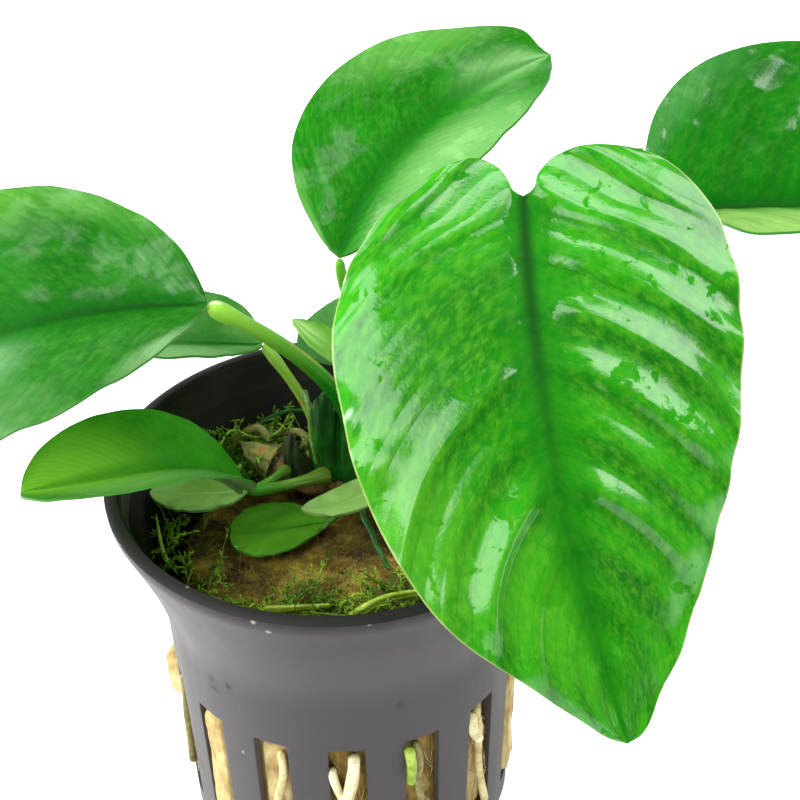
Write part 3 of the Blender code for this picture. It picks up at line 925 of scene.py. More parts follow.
class Midrib:
    """The midrib of a leaf in space, with the blade's own directions along it."""

    STEPS = 120
    SOFT_FOLD = 0.7

    def __init__(self, leaf: Leaf) -> None:
        """Grows the midrib from the leaf's base.

        Args:
            leaf: The leaf that it carries.
        """
        self.leaf = leaf
        step = leaf.length / self.STEPS
        self.marks = np.linspace(0, leaf.length, self.STEPS + 1)
        steps = self.forward((self.marks[:-1] + self.marks[1:]) / 2) * step
        self.line = np.vstack([leaf.base, np.array(leaf.base) + np.cumsum(steps, axis=0)])

    def forward(self, along: Array) -> Array:
        """The directions of growth at lengths along the midrib.

        Args:
            along: Millimetres along the midrib.

        Returns:
            The directions, one in each row.
        """
        t = np.clip(along / self.leaf.length, 0, 1)
        heading = np.radians(np.interp(t, (0, 0.5, 1), self.leaf.heading))
        pitch = np.radians(np.interp(t, (0, 0.5, 1), self.leaf.pitch))
        level = np.cos(pitch)
        return np.stack([level * np.cos(heading), level * np.sin(heading), np.sin(pitch)], axis=1)

    def across(self, along: Array) -> Array:
        """The directions to the blade's right, with the leaf's bank.

        Args:
            along: Millimetres along the midrib.

        Returns:
            The directions, one in each row.
        """
        forward = self.forward(along)
        level = unit(np.stack([forward[:, 1], -forward[:, 0], np.zeros(len(forward))], axis=1))
        bank = math.radians(self.leaf.bank)
        return level * math.cos(bank) + np.cross(level, forward) * math.sin(bank)

    def upward(self, along: Array) -> Array:
        """The directions out of the blade's upper face."""
        return np.cross(self.across(along), self.forward(along))

    def centre(self, along: Array) -> Array:
        """The midrib's points, carried on straight before its base."""
        inside = look_up(along, self.marks, self.line)
        return inside + np.minimum(along, 0)[:, None] * self.forward(np.zeros(len(along)))

    def lift(self, across: Array, along: Array, relief: Array) -> Array:
        """Puts points of the blade's plane on the bent blade.

        Args:
            across: Millimetres from the midrib, positive to the right.
            along: Millimetres along the midrib.
            relief: Millimetres out of the upper face.

        Returns:
            The points in space.
        """
        left, right = np.radians(self.leaf.fold)
        fold = np.where(across > 0, right, left)
        curl = math.radians(self.leaf.curl) / 10
        # The crease at the midrib is rounded over a few tenths of a millimetre.
        reach = np.sqrt(across ** 2 + self.SOFT_FOLD ** 2) - self.SOFT_FOLD
        bent = fold + curl * np.abs(across)
        out = (np.sin(bent) - np.sin(fold)) / curl
        rise = (np.cos(fold) - np.cos(bent)) / curl
        rise = rise - np.sin(fold) * (np.abs(across) - reach)
        sign = np.sign(across)
        side = self.across(along)
        upward = self.upward(along)
        normal = upward * np.cos(bent)[:, None] - side * (sign * np.sin(bent))[:, None]
        return (self.centre(along) + side * (sign * out)[:, None] + upward * rise[:, None]
                + normal * relief[:, None])


class Blade:
    """A leaf's blade: a grid whose rows follow the side veins, thickened and given its keel."""

    OUTLINE_POINTS = 240
    # How fast the side veins' ends run up the edge, and where a side vein bends, as shares of its
    # way out and up.
    EDGE_PACE = 0.78
    KNEE = (0.55, 0.25)
    # Where between two side veins a pucker starts to climb, and where its top is.
    START = 0.22
    CLIMB = 0.74
    # How sharply a pucker leaves the blade, and how sharp its top is.
    LEAVE = 12
    CREST = 9
    # The relief of the small veins and of the broad swelling, as shares of the ridge; the broad
    # one grows no more above the second number.  The groove on the midrib is in millimetres.
    MINOR = 0.02
    BROAD = (0.25, 0.3)
    GROOVE = 0.36
    # The share of the midrib in which the relief ends at the tip and at a base without a notch.
    END = 0.02

    def __init__(self, leaf: Leaf, midrib: Midrib, seed: int) -> None:
        """Reads the outline of both halves.

        Args:
            leaf: The leaf.
            midrib: Its midrib.
            seed: The first of its three seeds.
        """
        self.leaf = leaf
        self.midrib = midrib
        self.seed = seed
        self.outlines = [self.half_outline(right) for right in (False, True)]

    def half_outline(self, right: bool) -> Array:
        """The outline of one half as (across, along) points, from its base to its tip.

        Args:
            right: Whether it is the right half.

        Returns:
            The points, one in each row.
        """
        leaf = self.leaf
        if leaf.outline:
            return smooth_curve(np.array(leaf.outline[1 if right else 0]), self.OUTLINE_POINTS)
        rise, fall = leaf.shape
        peak = rise / (rise + fall)
        widest = peak ** rise * (1 - peak) ** fall
        t = (1 - np.cos(np.linspace(0, math.pi, 60))) / 2
        width = leaf.half_width * t ** rise * (1 - t) ** fall / widest
        return smooth_curve(np.stack([width, t * leaf.length], axis=1), self.OUTLINE_POINTS)

    def plan(self, outline: Array, s: Array, v: Array) -> tuple[Array, Array]:
        """Places in one half's plane: s runs up the midrib and v out along a side vein.

        Args:
            outline: The half's outline.
            s: Fractions of the midrib.
            v: Fractions of the way out to the edge.

        Returns:
            How far across and along the places are, in millimetres.
        """
        leaf = self.leaf
        marks = np.linspace(0, 1, len(outline))
        edge_mark = leaf.lobe + (1 - leaf.lobe) * np.power(s, self.EDGE_PACE)
        edge_x, edge_y = look_up(edge_mark, marks, outline).T
        root = leaf.length * s
        knee_x = edge_x * self.KNEE[0]
        knee_y = root + (edge_y - root) * self.KNEE[1]
        across = knee_x * (2 * v * (1 - v)) + edge_x * v * v
        along = root * (1 - v) ** 2 + knee_y * (2 * v * (1 - v)) + edge_y * v * v
        # The first row has to lie on the outline itself, along the notch beside the stalk.
        notch_x, notch_y = look_up(leaf.lobe * v, marks, outline).T
        blend = np.where(s <= 0, 1.0, (1 - ease(s / 0.05)) * (leaf.lobe > 0))
        return across + (notch_x - across) * blend, along + (notch_y - along) * blend

    def relief(self, across: Array, along: Array, s: Array, v: Array) -> Array:
        """How far the upper face stands out of the smooth blade, in millimetres.

        Between two side veins the blade puckers: it rises slowly towards the tip and drops quickly
        to the next vein, so that each pucker shows the light one broad, even flank.

        Args:
            across: Millimetres from the midrib, positive to the right.
            along: Millimetres along it.
            s: Fractions of the midrib.
            v: Fractions of the way out to the edge.

        Returns:
            The heights.
        """
        leaf, skin = self.leaf, self.leaf.skin
        count = (s - skin.vein_drift * v ** skin.VEIN_BEND - skin.vein_first) / skin.vein_step
        number = np.clip(np.floor(count).astype(int) + 5, 0, 12)
        part = count - np.floor(count)
        gains = np.random.default_rng(self.seed).uniform(0.5, 1.0, (2, 13))
        for row, given in zip(gains, leaf.puckers):
            row[:len(given)] = given
        gain = np.where(across > 0, gains[1][number], gains[0][number])
        climb = (part - self.START) / (self.CLIMB - self.START)
        climb = np.log1p(np.exp(self.LEAVE * climb)) / self.LEAVE
        drop = (1 - part) / (1 - self.CLIMB)
        profile = -np.log(np.exp(-self.CREST * climb) + np.exp(-self.CREST * drop)) / self.CREST
        profile = np.maximum(profile, 0.0)
        rise = ease((v - 0.03) / 0.2) * (1 - 0.65 * ease((v - 0.7) / 0.3))
        rise = rise * (1 - 0.6 * ease((s - 0.75) / 0.25))
        puckers = leaf.ridge * gain * profile * rise
        minor = self.MINOR * leaf.ridge * np.abs(np.sin(math.pi * 3 * count)) * ease(v / 0.15)
        places = np.stack([across, along], axis=1)
        broad = self.BROAD[0] * min(leaf.ridge, self.BROAD[1])
        broad = broad * swell(places, leaf.length * 0.16, self.seed + 1)
        edge = leaf.wave * swell(places, leaf.length * 0.07, self.seed + 2) * v ** 5
        groove = -self.GROOVE * np.exp(-across ** 2) * (1 - s) ** 1.2 * ease(s / 0.04)
        roll = np.where(across > 0, leaf.roll[1], leaf.roll[0]) * (np.maximum(v - 0.72, 0) / 0.28) ** 2
        # The relief ends there so that the rows close to a point.
        ends = ease((1 - s) / self.END) * (1.0 if leaf.lobe else ease(s / self.END))
        return (puckers + minor + broad * ease(v / 0.3) + edge + groove - roll) * ends

    def place(self, u: Array, s: Array) -> Array:
        """The blade's upper face in space, from the grid's u and v.

        Args:
            u: Fractions of the way from the left edge to the right.
            s: Fractions of the midrib.

        Returns:
            The points in millimetres.
        """
        side = u * 2 - 1
        v = np.abs(side)
        left = self.plan(self.outlines[0], s, v)
        right = self.plan(self.outlines[1], s, v)
        across = np.where(side > 0, right[0], left[0])
        along = np.where(side > 0, right[1], left[1])
        signed = np.sign(side) * across
        return self.midrib.lift(signed, along, self.relief(signed, along, s, v))

    def keel(self) -> Piece:
        """The midrib's keel under the blade, which carries the stalk on and thins to nothing.

        Returns:
            The keel.
        """
        leaf = self.leaf
        t = np.linspace(0, 1, 50)
        run = 0.3 + t * 0.84 * leaf.length
        thick = leaf.stalk.radius * 0.6 * (1 - 0.88 * t)
        line = self.midrib.centre(run) - self.midrib.upward(run) * (thick + 0.5 - 0.2 * t)[:, None]

        def radius(along: Array, angle: Array) -> Array:
            """The keel's radii, the same all round."""
            return np.interp(along, t, thick)

        return lay_tube(leaf.name + "_keel", Path(line), radius, sides=8, rows=40)

    def build(self) -> Piece:
        """Makes the blade with its three finishes.

        Returns:
            The blade.
        """
        leaf = self.leaf
        name = leaf.name + "_blade_detail"
        lower = leaf.skin.lower()
        blade = dress(lay_grid(name, leaf.columns, leaf.rows, self.place), leaf.skin.upper(), lower,
                      leaf.skin.rim())
        apply_modifier(blade, "SOLIDIFY", thickness=leaf.thickness * MM, offset=-1.0,
                       material_offset=1, material_offset_rim=2, use_quality_normals=True)
        piece = join([blade, dress(self.keel(), lower)], name)
        activate(piece)
        bpy.ops.object.shade_smooth_by_angle(angle=math.radians(55))
        return piece


class LeafStalk:
    """A leaf stalk: a sheath at its foot, a slim shaft and a knuckle just under the blade."""

    # How far its foot stands out of the rhizome, in millimetres.
    LIFT = 0.3
    # How much wider than the shaft its sheath and knuckle are, how much the shaft loses to the top,
    # and how deep its groove is, as shares of its radius.
    SHEATH = 0.75
    KNUCKLE = 0.22
    TAPER = 0.2
    GROOVE = 0.14

    def __init__(self, leaf: Leaf, midrib: Midrib, rhizome: "Rhizome") -> None:
        """Lays the stalk's line from the rhizome to the blade.

        Args:
            leaf: The leaf.
            midrib: Its midrib.
            rhizome: The stem that it grows on.
        """
        stalk = leaf.stalk
        self.leaf = leaf
        start = rhizome.over(stalk.along, stalk.around, self.LIFT + stalk.radius * 0.4)
        zero = np.zeros(1)
        under = midrib.upward(zero)[0]
        if leaf.hangs:
            end = midrib.centre(np.array([1.6]))[0] - under * 1.25
            pull = end - under * 14.0
        else:
            end = midrib.centre(np.array([-0.1]))[0] - under * 0.35
            pull = end - np.array(stalk.end_pull)
        bend = start + np.array(stalk.start_pull)
        t = np.linspace(0, 1, 80)[:, None]
        line = (start * (1 - t) ** 3 + bend * 3 * t * (1 - t) ** 2 + pull * 3 * t * t * (1 - t)
                + end * t ** 3)
        self.path = Path(smooth_curve(line, 80))

    def radius(self, t: Array, angle: Array) -> Array:
        """The stalk's radius in millimetres: wide sheath, slim shaft, knuckle at the top.

        Args:
            t: Fractions of the stalk's length.
            angle: Angles from the side that faces up.

        Returns:
            The radii.
        """
        full = self.leaf.stalk.radius
        run = t * self.path.length
        reach = max(self.path.length * 0.22, 1.5)
        sheath = self.SHEATH * np.exp(-(run / reach) ** 2)
        knuckle = self.KNUCKLE * np.exp(-((self.path.length - run - 2.2) / 1.8) ** 2)
        groove = 1 - self.GROOVE * np.exp(-(angle / 0.5) ** 2) * ease(t * 3)
        return full * (1 - self.TAPER * t + sheath + knuckle) * groove

    def build(self) -> Piece:
        """Makes the stalk.

        Returns:
            The stalk.
        """
        name = self.leaf.name + "_stalk_detail"
        stalk = lay_tube(name, self.path, self.radius, sides=20, rows=90)
        return dress(stalk, self.leaf.stalk_skin.skin())


# ---------------------------------------------------------------- rhizome, roots and pot

@dataclass
class Rhizome:
    """The creeping stem: swollen at each old leaf scar, with a blunt growing end.

    knobs gives its thickness from left to right as shares of its radius.
    """

    left: Triple = (-9.0, 11.0, 42.4)
    right: Triple = (14.5, 4.2, 42.4)
    radius_mm: float = 2.9
    knobs: tuple[float, ...] = (0.45, 0.86, 0.78, 1.0, 0.86, 1.0, 0.84, 1.0, 0.86, 0.98, 0.8, 0.9, 0.4)
    bark: Mottled = BARK

    def over(self, along: float, around: float, lift: float) -> Array:
        """A point over the rhizome, around it in degrees from straight up towards the back.

        Args:
            along: The share of the rhizome's length.
            around: The angle in degrees.
            lift: How far over the bark, in millimetres.

        Returns:
            The point.
        """
        left, right = np.array(self.left), np.array(self.right)
        back = np.cross((0.0, 0.0, 1.0), unit(right - left))
        turn = math.radians(around)
        out = back * math.sin(turn) + np.array((0.0, 0.0, math.cos(turn)))
        return left + (right - left) * along + out * (self.radius_mm + lift)

    def build(self) -> Piece:
        """Makes the rhizome.

        Returns:
            The rhizome.
        """
        t = np.linspace(0, 1, 60)[:, None]
        left, right = np.array(self.left), np.array(self.right)
        line = left + (right - left) * t
        line[:, 1] += 0.35 * np.sin(5 * t[:, 0])
        marks = np.linspace(0, 1, len(self.knobs))

        def radius(t: Array, angle: Array) -> Array:
            """The stem's radii, with rings and lumps."""
            rings = 0.035 * np.abs(np.sin(t * math.pi * 16)) ** 0.5
            lumps = swell(np.stack([t * 24, 3 * np.cos(angle), 3 * np.sin(angle)], axis=1), 2.0, 5)
            return self.radius_mm * (np.interp(t, marks, self.knobs) * 0.95 + rings + 0.05 * lumps)

        piece = lay_tube("rhizome_detail", Path(line), radius, sides=44, rows=130)
        return dress(piece, self.bark.skin())


ROOT_ROUTES = {
    "root_back_left": (0.6, ((-8.4, 14.9, 43.6), (-10.2, 16.8, 44.2), (-12.8, 16.4, 42.8),
                             (-14.2, 14.2, 40.8), (-14.6, 11.8, 39.7))),
    "root_back": (0.55, ((-3.6, 13.4, 43.8), (-5.0, 15.8, 44.3), (-7.8, 17.2, 42.6),
                         (-9.2, 16.6, 40.0))),
    "root_front": (0.5, ((2.6, 3.6, 42.0), (3.4, 0.8, 41.4), (4.6, -2.6, 40.4),
                         (6.0, -6.6, 39.6))),
    "root_right": (0.55, ((13.6, 0.8, 42.2), (15.4, -2.2, 41.6), (16.4, -6.0, 40.2),
                          (16.2, -9.0, 39.4))),
    "root_left": (0.5, ((-12.4, 10.6, 42.8), (-14.8, 8.8, 42.0), (-16.2, 5.6, 40.4),
                        (-16.8, 3.0, 39.4))),
}


@dataclass(frozen=True)
class SlotRoot:
    """A root in a slot of the pot, which sways from one side to the other on its way down.

    The shifts are measured along the wall from the slot's middle, and top and foot are heights.
    """

    slot: int
    top_shift: float
    foot_shift: float
    top: float
    foot: float


SLOT_ROOTS = (SlotRoot(0, 1.0, -0.7, 23.0, 7.0), SlotRoot(1, -0.9, 0.4, 23.2, 9.0),
              SlotRoot(2, -0.6, 0.7, 22.8, 6.0), SlotRoot(3, 0.5, -0.5, 21.5, 7.5),
              SlotRoot(5, 0.6, -0.6, 21.0, 7.0), SlotRoot(8, -0.7, 0.3, 22.0, 8.0),
              SlotRoot(11, -0.8, 0.6, 22.0, 8.5), SlotRoot(13, 1.1, 0.3, 22.5, 8.0))


# Smudges on the pot's front and pale specks below its lip, as in the photograph.
POT_MARKS = (((-15.75, -14.9, 29.3), 0.9, "#100C0E"), ((-15.9, -14.8, 30.8), 0.8, "#100C0E"),
             ((-13.8, -16.85, 31.15), 0.75, "#141012"), ((6.65, -20.7, 30.7), 0.9, "#2A2628"),
             ((-9.6, -26.3, 49.3), 0.45, "#B09A8A"), ((-7.95, -26.4, 47.9), 0.45, "#A8A4B8"),
             ((3.6, -27.7, 49.6), 0.4, "#8A7E7A"))


@dataclass
class NetPot:
    """The pot: an injection-moulded cup with a flared mouth, a rolled lip and upright slots."""

    height: float = 50.0
    wall: float = 1.2
    floor: float = 1.5
    lip_radius: float = 28.0
    lip_width: float = 2.0
    foot_radius: float = 19.9
    slots: int = 14
    slot_width: float = 4.5
    slot_low: float = 4.0
    slot_top: float = 24.0
    drains: int = 7
    drain_radius: float = 2.0
    drain_circle: float = 12.5
    side: tuple[tuple[float, float], ...] = ((26.8, 46.2), (25.3, 42.8), (23.9, 39.4), (22.7, 35.8),
                                             (21.9, 32.4), (21.5, 28.0), (20.4, 10.0))
    columns: int = 280
    # Rows of points up the outside and down the inside, and those of them that are the plain side.
    outer_rows: int = 66
    inner_rows: int = 56
    side_rows: tuple[int, int] = (20, 60)
    # The slots' cutters stand this far out and cut this deep.
    cutter_radius: float = 20.5
    cutter_depth: float = 8.0
    # Loose strands lie above this height and keep this far from the wall.
    strand_low: float = 38.3
    strand_gap: float = 0.4
    outside: PotPlastic = PotPlastic("charcoal_polypropylene_outside", wall="#423E40",
                                     painted_band="#2A2627", scuff="#4D494B", roughness=0.4, sheen_level=0.16,
                                     marks=POT_MARKS)
    # The inside and the lip's top are the same plastic as the outside, painted much darker as painted shade.
    inside: PotPlastic = PotPlastic("charcoal_polypropylene_inside_painted_shade", wall="#1B1A19",
                                    painted_band="#232323", scuff="#2E2C2A", roughness=0.5, dirt=0.9)

    def slot_angle(self, index: float) -> float:
        """The angle of a slot's middle; slot 0 faces the front and the count runs to the right."""
        return math.radians(-90.0) + 2 * math.pi * index / self.slots

    def keep_inside(self, line: Array) -> Array:
        """Pushes a strand's points back inside the pot and up to the wool.

        Args:
            line: The strand's points.

        Returns:
            The same points, moved.
        """
        heights = [height for _, height in reversed(self.side)] + [self.height]
        radii = [radius - self.wall for radius, _ in reversed(self.side)]
        limit = np.interp(line[:, 2], heights, radii + [self.lip_radius - self.lip_width])
        limit = limit - self.strand_gap
        reach = np.hypot(line[:, 0], line[:, 1])
        line[:, :2] *= np.minimum(1.0, limit / np.maximum(reach, 1e-6))[:, None]
        line[:, 2] = np.maximum(line[:, 2], self.strand_low)
        return line

    def outer_profile(self) -> Array:
        """Half the section's outside, from the middle of the underside up to the lip's top.

        Returns:
            Its (radius, height) points, one in each row.
        """
        foot, lip = self.foot_radius, self.lip_radius
        points = [(0.0, 0.0), (6.0, 0.0), (12.0, 0.0), (foot - 1.0, 0.0), (foot - 0.5, 0.0),
                  (foot - 0.12, 0.25), (foot, 0.8), (foot + 0.02, 1.6)]
        points += list(reversed(self.side))
        points += [(lip - 0.35, 48.0), (lip - 0.1, 48.7), (lip, 49.2), (lip - 0.08, 49.75),
                   (lip - 0.35, self.height), (lip - 0.9, self.height)]
        return np.array(points)

    def inner_profile(self) -> Array:
        """Half the section's inside, from the lip's top down to the middle of the floor.

        Returns:
            Its (radius, height) points, one in each row.
        """
        inside = self.lip_radius - self.lip_width
        points = [(inside + 0.5, self.height), (inside + 0.12, self.height - 0.12),
                  (inside, self.height - 0.5), (inside - 0.12, self.height - 1.4)]
        points += [(radius - self.wall, height) for radius, height in self.side]
        low = self.foot_radius - self.wall
        points += [(low + 0.03, self.floor + 1.2), (low - 0.15, self.floor + 0.3),
                   (low - 0.6, self.floor), (10.0, self.floor), (0.0, self.floor)]
        return np.array(points)

    def turned(self, name: str) -> Piece:
        """Turns the whole section and names its inner faces with the second material.

        Args:
            name: The piece's name.

        Returns:
            The pot without its slots and drain holes.
        """
        outer = smooth_curve(self.outer_profile(), self.outer_rows)
        section = np.vstack([outer, smooth_curve(self.inner_profile(), self.inner_rows)])
        side = outer[slice(*self.side_rows)]
        section[0, 0] = section[-1, 0] = 0.0
        marks = np.linspace(0, 1, len(section))

        def place(u: Array, v: Array) -> Array:
            """The turned section's points."""
            radius, height = look_up(v, marks, section).T
            return ring(radius, 2 * math.pi * (u + 0.5 / self.columns), height)

        cup = dress(lay_grid(name, self.columns, len(section) - 1, place, closed=True),
                    self.outside.skin(), self.inside.skin())
        for face in cup.data.polygons:
            middle = face.center / MM
            reach = math.hypot(middle.x, middle.y)
            rim = middle.z > self.height - 0.7
            skin = np.interp(middle.z, side[:, 1], side[:, 0]) - 0.5 * self.wall
            inner_side = reach < skin and middle.z > 0.7 * self.floor
            # The lip's top takes the inside's darker paint, as painted shade.
            face.material_index = 1 if rim or inner_side else 0
        return cup

    def cutter(self) -> Piece:
        """One mesh of all the slots' and drain holes' cutters.

        Returns:
            The cutters, joined.
        """
        cutters = []
        tall = self.slot_top - self.slot_low
        middle = (self.slot_low + self.slot_top) / 2
        for i in range(self.slots):
            angle = self.slot_angle(i)
            deselect_all()
            bpy.ops.mesh.primitive_cube_add(
                size=1, location=ring(self.cutter_radius, angle, middle) * MM, rotation=(0, 0, angle),
                scale=(self.cutter_depth * MM, self.slot_width * MM, tall * MM))
            cutters.append(bpy.context.object)
        for i in range(self.drains):
            place = ring(self.drain_circle, 2 * math.pi * i / self.drains, 0.0)
            deselect_all()
            bpy.ops.mesh.primitive_cylinder_add(vertices=32, radius=self.drain_radius * MM,
                                                depth=4 * self.floor * MM, location=place * MM)
            cutters.append(bpy.context.object)
        tool = join(cutters, "pot_cutter")
        bpy.ops.object.transform_apply(location=True, rotation=True, scale=True)
        return tool

    def build(self) -> Piece:
        """Makes the pot: turned, cut, and softened at the cut edges.

        Returns:
            The pot.
        """
        cup = self.turned("net_pot_detail")
        tool = self.cutter()
        apply_modifier(cup, "BOOLEAN", operation="DIFFERENCE", object=tool, solver="EXACT")
        bpy.data.objects.remove(tool)
        apply_modifier(cup, "BEVEL", width=0.16 * MM, segments=2, limit_method="ANGLE",
                       angle_limit=math.radians(60), harden_normals=False)
        activate(cup)
        bpy.ops.object.shade_smooth_by_angle(angle=math.radians(40))
        return cup


@dataclass
class WoolPlug:
    """The plug of mineral wool: matted, lumpy, and pressed a little way out through the slots."""

    pot: NetPot
    top: float = 38.8
    edge: tuple[tuple[float, float], ...] = ((18.0, 38.2), (19.3, 36.6), (19.8, 33.0), (19.6, 26.0))
    foot: float = 1.8
    foot_radius: float = 18.2
    # How far the wool stands out in a slot past its own side, and the slots where that differs.
    bulge: float = 0.95
    bulges: dict[int, float] = field(default_factory=lambda: {11: 0.4, 3: 1.9, 4: 2.6, 0: 0.35,
                                                              1: 0.4, 2: 0.7, 12: 1.6, 13: 0.9})
    # Lumps that swell out further: how far, from which height and up to which.
    lumps: dict[int, Triple] = field(default_factory=lambda: {10: (3.9, 10.5, 20.8)})
    # The slots that show damp brown wool.
    brown_slots: tuple[int, ...] = (0, 1, 11)
    # How far from the axis the slots' wool and the fibres that cling to it lie.
    slot_radius: float = 20.0
    cling_radius: float = 19.62
    # Above this height the wool is the damp crown; its lumps start and the side's end further up.
    crown_low: float = 33.0
    lumps_low: float = 37.0
    side_top: float = 37.5
    crown: Mottled = DAMP_CROWN
    cream: Mottled = CREAM_WOOL
    brown: Mottled = BROWN_WOOL

    def press(self, angle: Array, height: Array) -> Array:
        """How far the wool is pressed out through the slots at angles and heights.

        Args:
            angle: Angles around the pot.
            height: Heights in millimetres.

        Returns:
            The distances in millimetres.
        """
        pot = self.pot
        out = np.zeros(len(angle))
        for i in range(pot.slots):
            off = np.angle(np.exp(1j * (angle - pot.slot_angle(i)))) * self.slot_radius
            width = ease((pot.slot_width / 2 - 0.15 - np.abs(off)) / 0.6)
            upper = ease((pot.slot_top - 0.2 - height) / 1.3)
            lower = ease((height - pot.slot_low - 0.2) / 1.8)
            out += self.bulges.get(i, self.bulge) * width * upper * lower
            if i in self.lumps:
                far, low, high = self.lumps[i]
                round_off = ease((high - height) / 2.5) * ease((height - low) / 3.0)
                out += (far - self.bulge) * width * round_off
        return out

    def cling(self, line: Array) -> Array:
        """Lays a strand's points on the wool's side.

        Args:
            line: The strand's points.

        Returns:
            Their places on the wool.
        """
        angle = np.arctan2(line[:, 1], line[:, 0])
        rough = 0.12 * np.abs(swell(line, 1.0, 14))
        return ring(self.cling_radius + self.press(angle, line[:, 2]) + rough, angle, line[:, 2])

    def build(self) -> Piece:
        """Makes the plug.

        Returns:
            The plug.
        """
        side = [(0.0, self.top), (6.0, self.top), (12.0, self.top - 0.15), *self.edge,
                (self.foot_radius + 0.7, 10.0), (self.foot_radius, self.foot + 1.0),
                (self.foot_radius - 0.8, self.foot), (8.0, self.foot), (0.0, self.foot)]
        section = smooth_curve(np.array(side), 120)
        section[0, 0] = section[-1, 0] = 0.0
        marks = np.linspace(0, 1, len(section))

        def place(u: Array, v: Array) -> Array:
            """The plug's points, rough on top and pressed out at the slots."""
            radius, height = look_up(v, marks, section).T
            angle = 2 * math.pi * u
            flat = ring(radius, angle, height)
            rough = 0.28 * swell(flat, 2.6, 11) + 0.12 * swell(flat, 1.0, 12)
            crown = ease(height - self.lumps_low)
            floor_free = ease((height - self.foot) / 2.0)
            low_lift = 0.35 * swell(flat, 4.5, 13) - 0.25
            side = np.where(height < self.side_top, 0.35 * rough, 0.0) * floor_free * ease(radius / 5)
            reach = radius + self.press(angle, height) * ease((radius - 12) / 6) + side
            reach = np.where(radius < 1e-6, 0.0, reach)
            lift = height + crown * (low_lift + rough * 0.8)
            return ring(reach, angle, lift)

        plug = dress(lay_grid("rock_wool_plug_detail", 300, 170, place, closed=True),
                     self.crown.skin(), self.cream.skin(), self.brown.skin())
        for face in plug.data.polygons:
            middle = face.center / MM
            if middle.z < self.crown_low:
                turn = (math.atan2(middle.y, middle.x) - self.pot.slot_angle(0)) / (2 * math.pi)
                slot = round(turn * self.pot.slots) % self.pot.slots
                face.material_index = 2 if slot in self.brown_slots else 1
        return plug


# ---------------------------------------------------------------- loose strands

@dataclass
class Strands:
    """Many thin strands joined in one mesh, each a three-sided thread with closed ends."""

    # How much a strand's way shakes, as a share of its bend, and how much one that lies drops.
    JITTER = 0.12
    DROP = 0.25

    name: str
    seed: int
    knots: int = 7
    lines: list[Array] = field(default_factory=list)
    radii: list[Array] = field(default_factory=list)

    def __post_init__(self) -> None:
        """Seeds the strands' own random numbers."""
        self.rng = np.random.default_rng(self.seed)

    def add(self, start: Array, heading: Array, length: float, radius: float,
            bend: float, lie: float = 0.0, hold: Hold | None = None) -> Array:
        """Adds a strand that wanders from its start.

        Args:
            start: Its first point in millimetres.
            heading: Its first direction.
            length: Its length in millimetres.
            radius: Its radius in millimetres at its thickest.
            bend: How much it turns along its way, in radians.
            lie: How strongly it is drawn down, 0 to 1.
            hold: Keeps its points inside the pot or on a surface.

        Returns:
            The strand's points.
        """
        step = length / (self.knots - 1)
        direction = unit(heading)
        turn = self.rng.normal(size=3) * bend / (self.knots - 1)
        points = [start]
        for _ in range(self.knots - 1):
            direction = direction + turn + self.rng.normal(size=3) * bend * self.JITTER
            direction[2] -= lie * self.DROP
            direction = unit(direction)
            points.append(points[-1] + direction * step)
        line = np.array(points)
        if hold is not None:
            line = hold(line)
        self.lines.append(line)
        t = np.linspace(0, 1, self.knots)
        self.radii.append(radius * (0.35 + 0.65 * np.sin(math.pi * np.clip(t * 0.9 + 0.05, 0, 1))))
        return line

    def build(self) -> Piece:
        """Makes the mesh of all the strands.

        Returns:
            The strands as one piece.
        """
        lines = np.array(self.lines)
        radii = np.array(self.radii)
        count, knots = lines.shape[:2]
        along = unit(np.gradient(lines, axis=1))
        helper = np.where(np.abs(along[:, :1, 2:3]) > 0.8, [[[1.0, 0.0, 0.0]]], [[[0.0, 0.0, 1.0]]])
        side = unit(np.cross(along, np.broadcast_to(helper, along.shape)))
        over = np.cross(side, along)
        rings = []
        for k in range(3):
            angle = 2 * math.pi * k / 3
            out = side * math.cos(angle) + over * math.sin(angle)
            rings.append(lines + out * radii[:, :, None])
        points = np.stack(rings, axis=2).reshape(-1, 3) * MM
        first = (np.arange(count) * knots * 3)[:, None]
        row = (np.arange(knots - 1) * 3)[None, :, None]
        corner = np.arange(3)[None, None, :]
        a = first[:, :, None] + row + corner
        b = first[:, :, None] + row + (corner + 1) % 3
        quads = np.stack([a, a + 3, b + 3, b], axis=-1).reshape(-1, 4)
        foot = first + np.array([0, 1, 2])
        tip = first + (knots - 1) * 3 + np.array([2, 1, 0])
        mesh = bpy.data.meshes.new(self.name)
        mesh.from_pydata(points.tolist(), [], quads.tolist() + foot.tolist() + tip.tolist())
        piece = bpy.data.objects.new(self.name, mesh)
        bpy.context.scene.collection.objects.link(piece)
        return smooth_mesh(piece)


# ---------------------------------------------------------------- the leaves

FRONT_SKIN = LeafSkin(
    "front_leaf", deep="#0E6A0C", bright="#2A9A10", margin="#A8B470", bare=0.28, cell="#5CA81C",
    cell_share=0.24, vein_tone_and_shade=0.35, vein_first=0.235, vein_step=0.103,
    tints=((0.45, 0.3, 0.3, "#0E6C0A"), (0.85, 0.5, 0.22, "#40921A"), (0.4, 0.72, 0.25, "#3A9A16"),
           (-0.5, 0.92, 0.2, "#0E720C"), (0.0, 0.125, 0.006, "#9A4A20")))
# The pale patches on the back leaf's tip, right half and left edge are painted sheen.
BACK_SKIN = LeafSkin(
    "back_leaf", deep="#085E08", bright="#127C0E", bare=1.0, film_edge=0.25, film_roughness=0.45,
    vein_tone_and_shade=0.12, cell_share=0.08, rib="#1A5A1A", rib_width=0.03,
    tints=((0.0, 1.0, 0.42, "#96C886"), (0.75, 0.35, 0.42, "#7CB46A"), (-1.0, 0.6, 0.3, "#66AC4C"),
           (-0.95, 0.05, 0.16, "#66AC4C")))
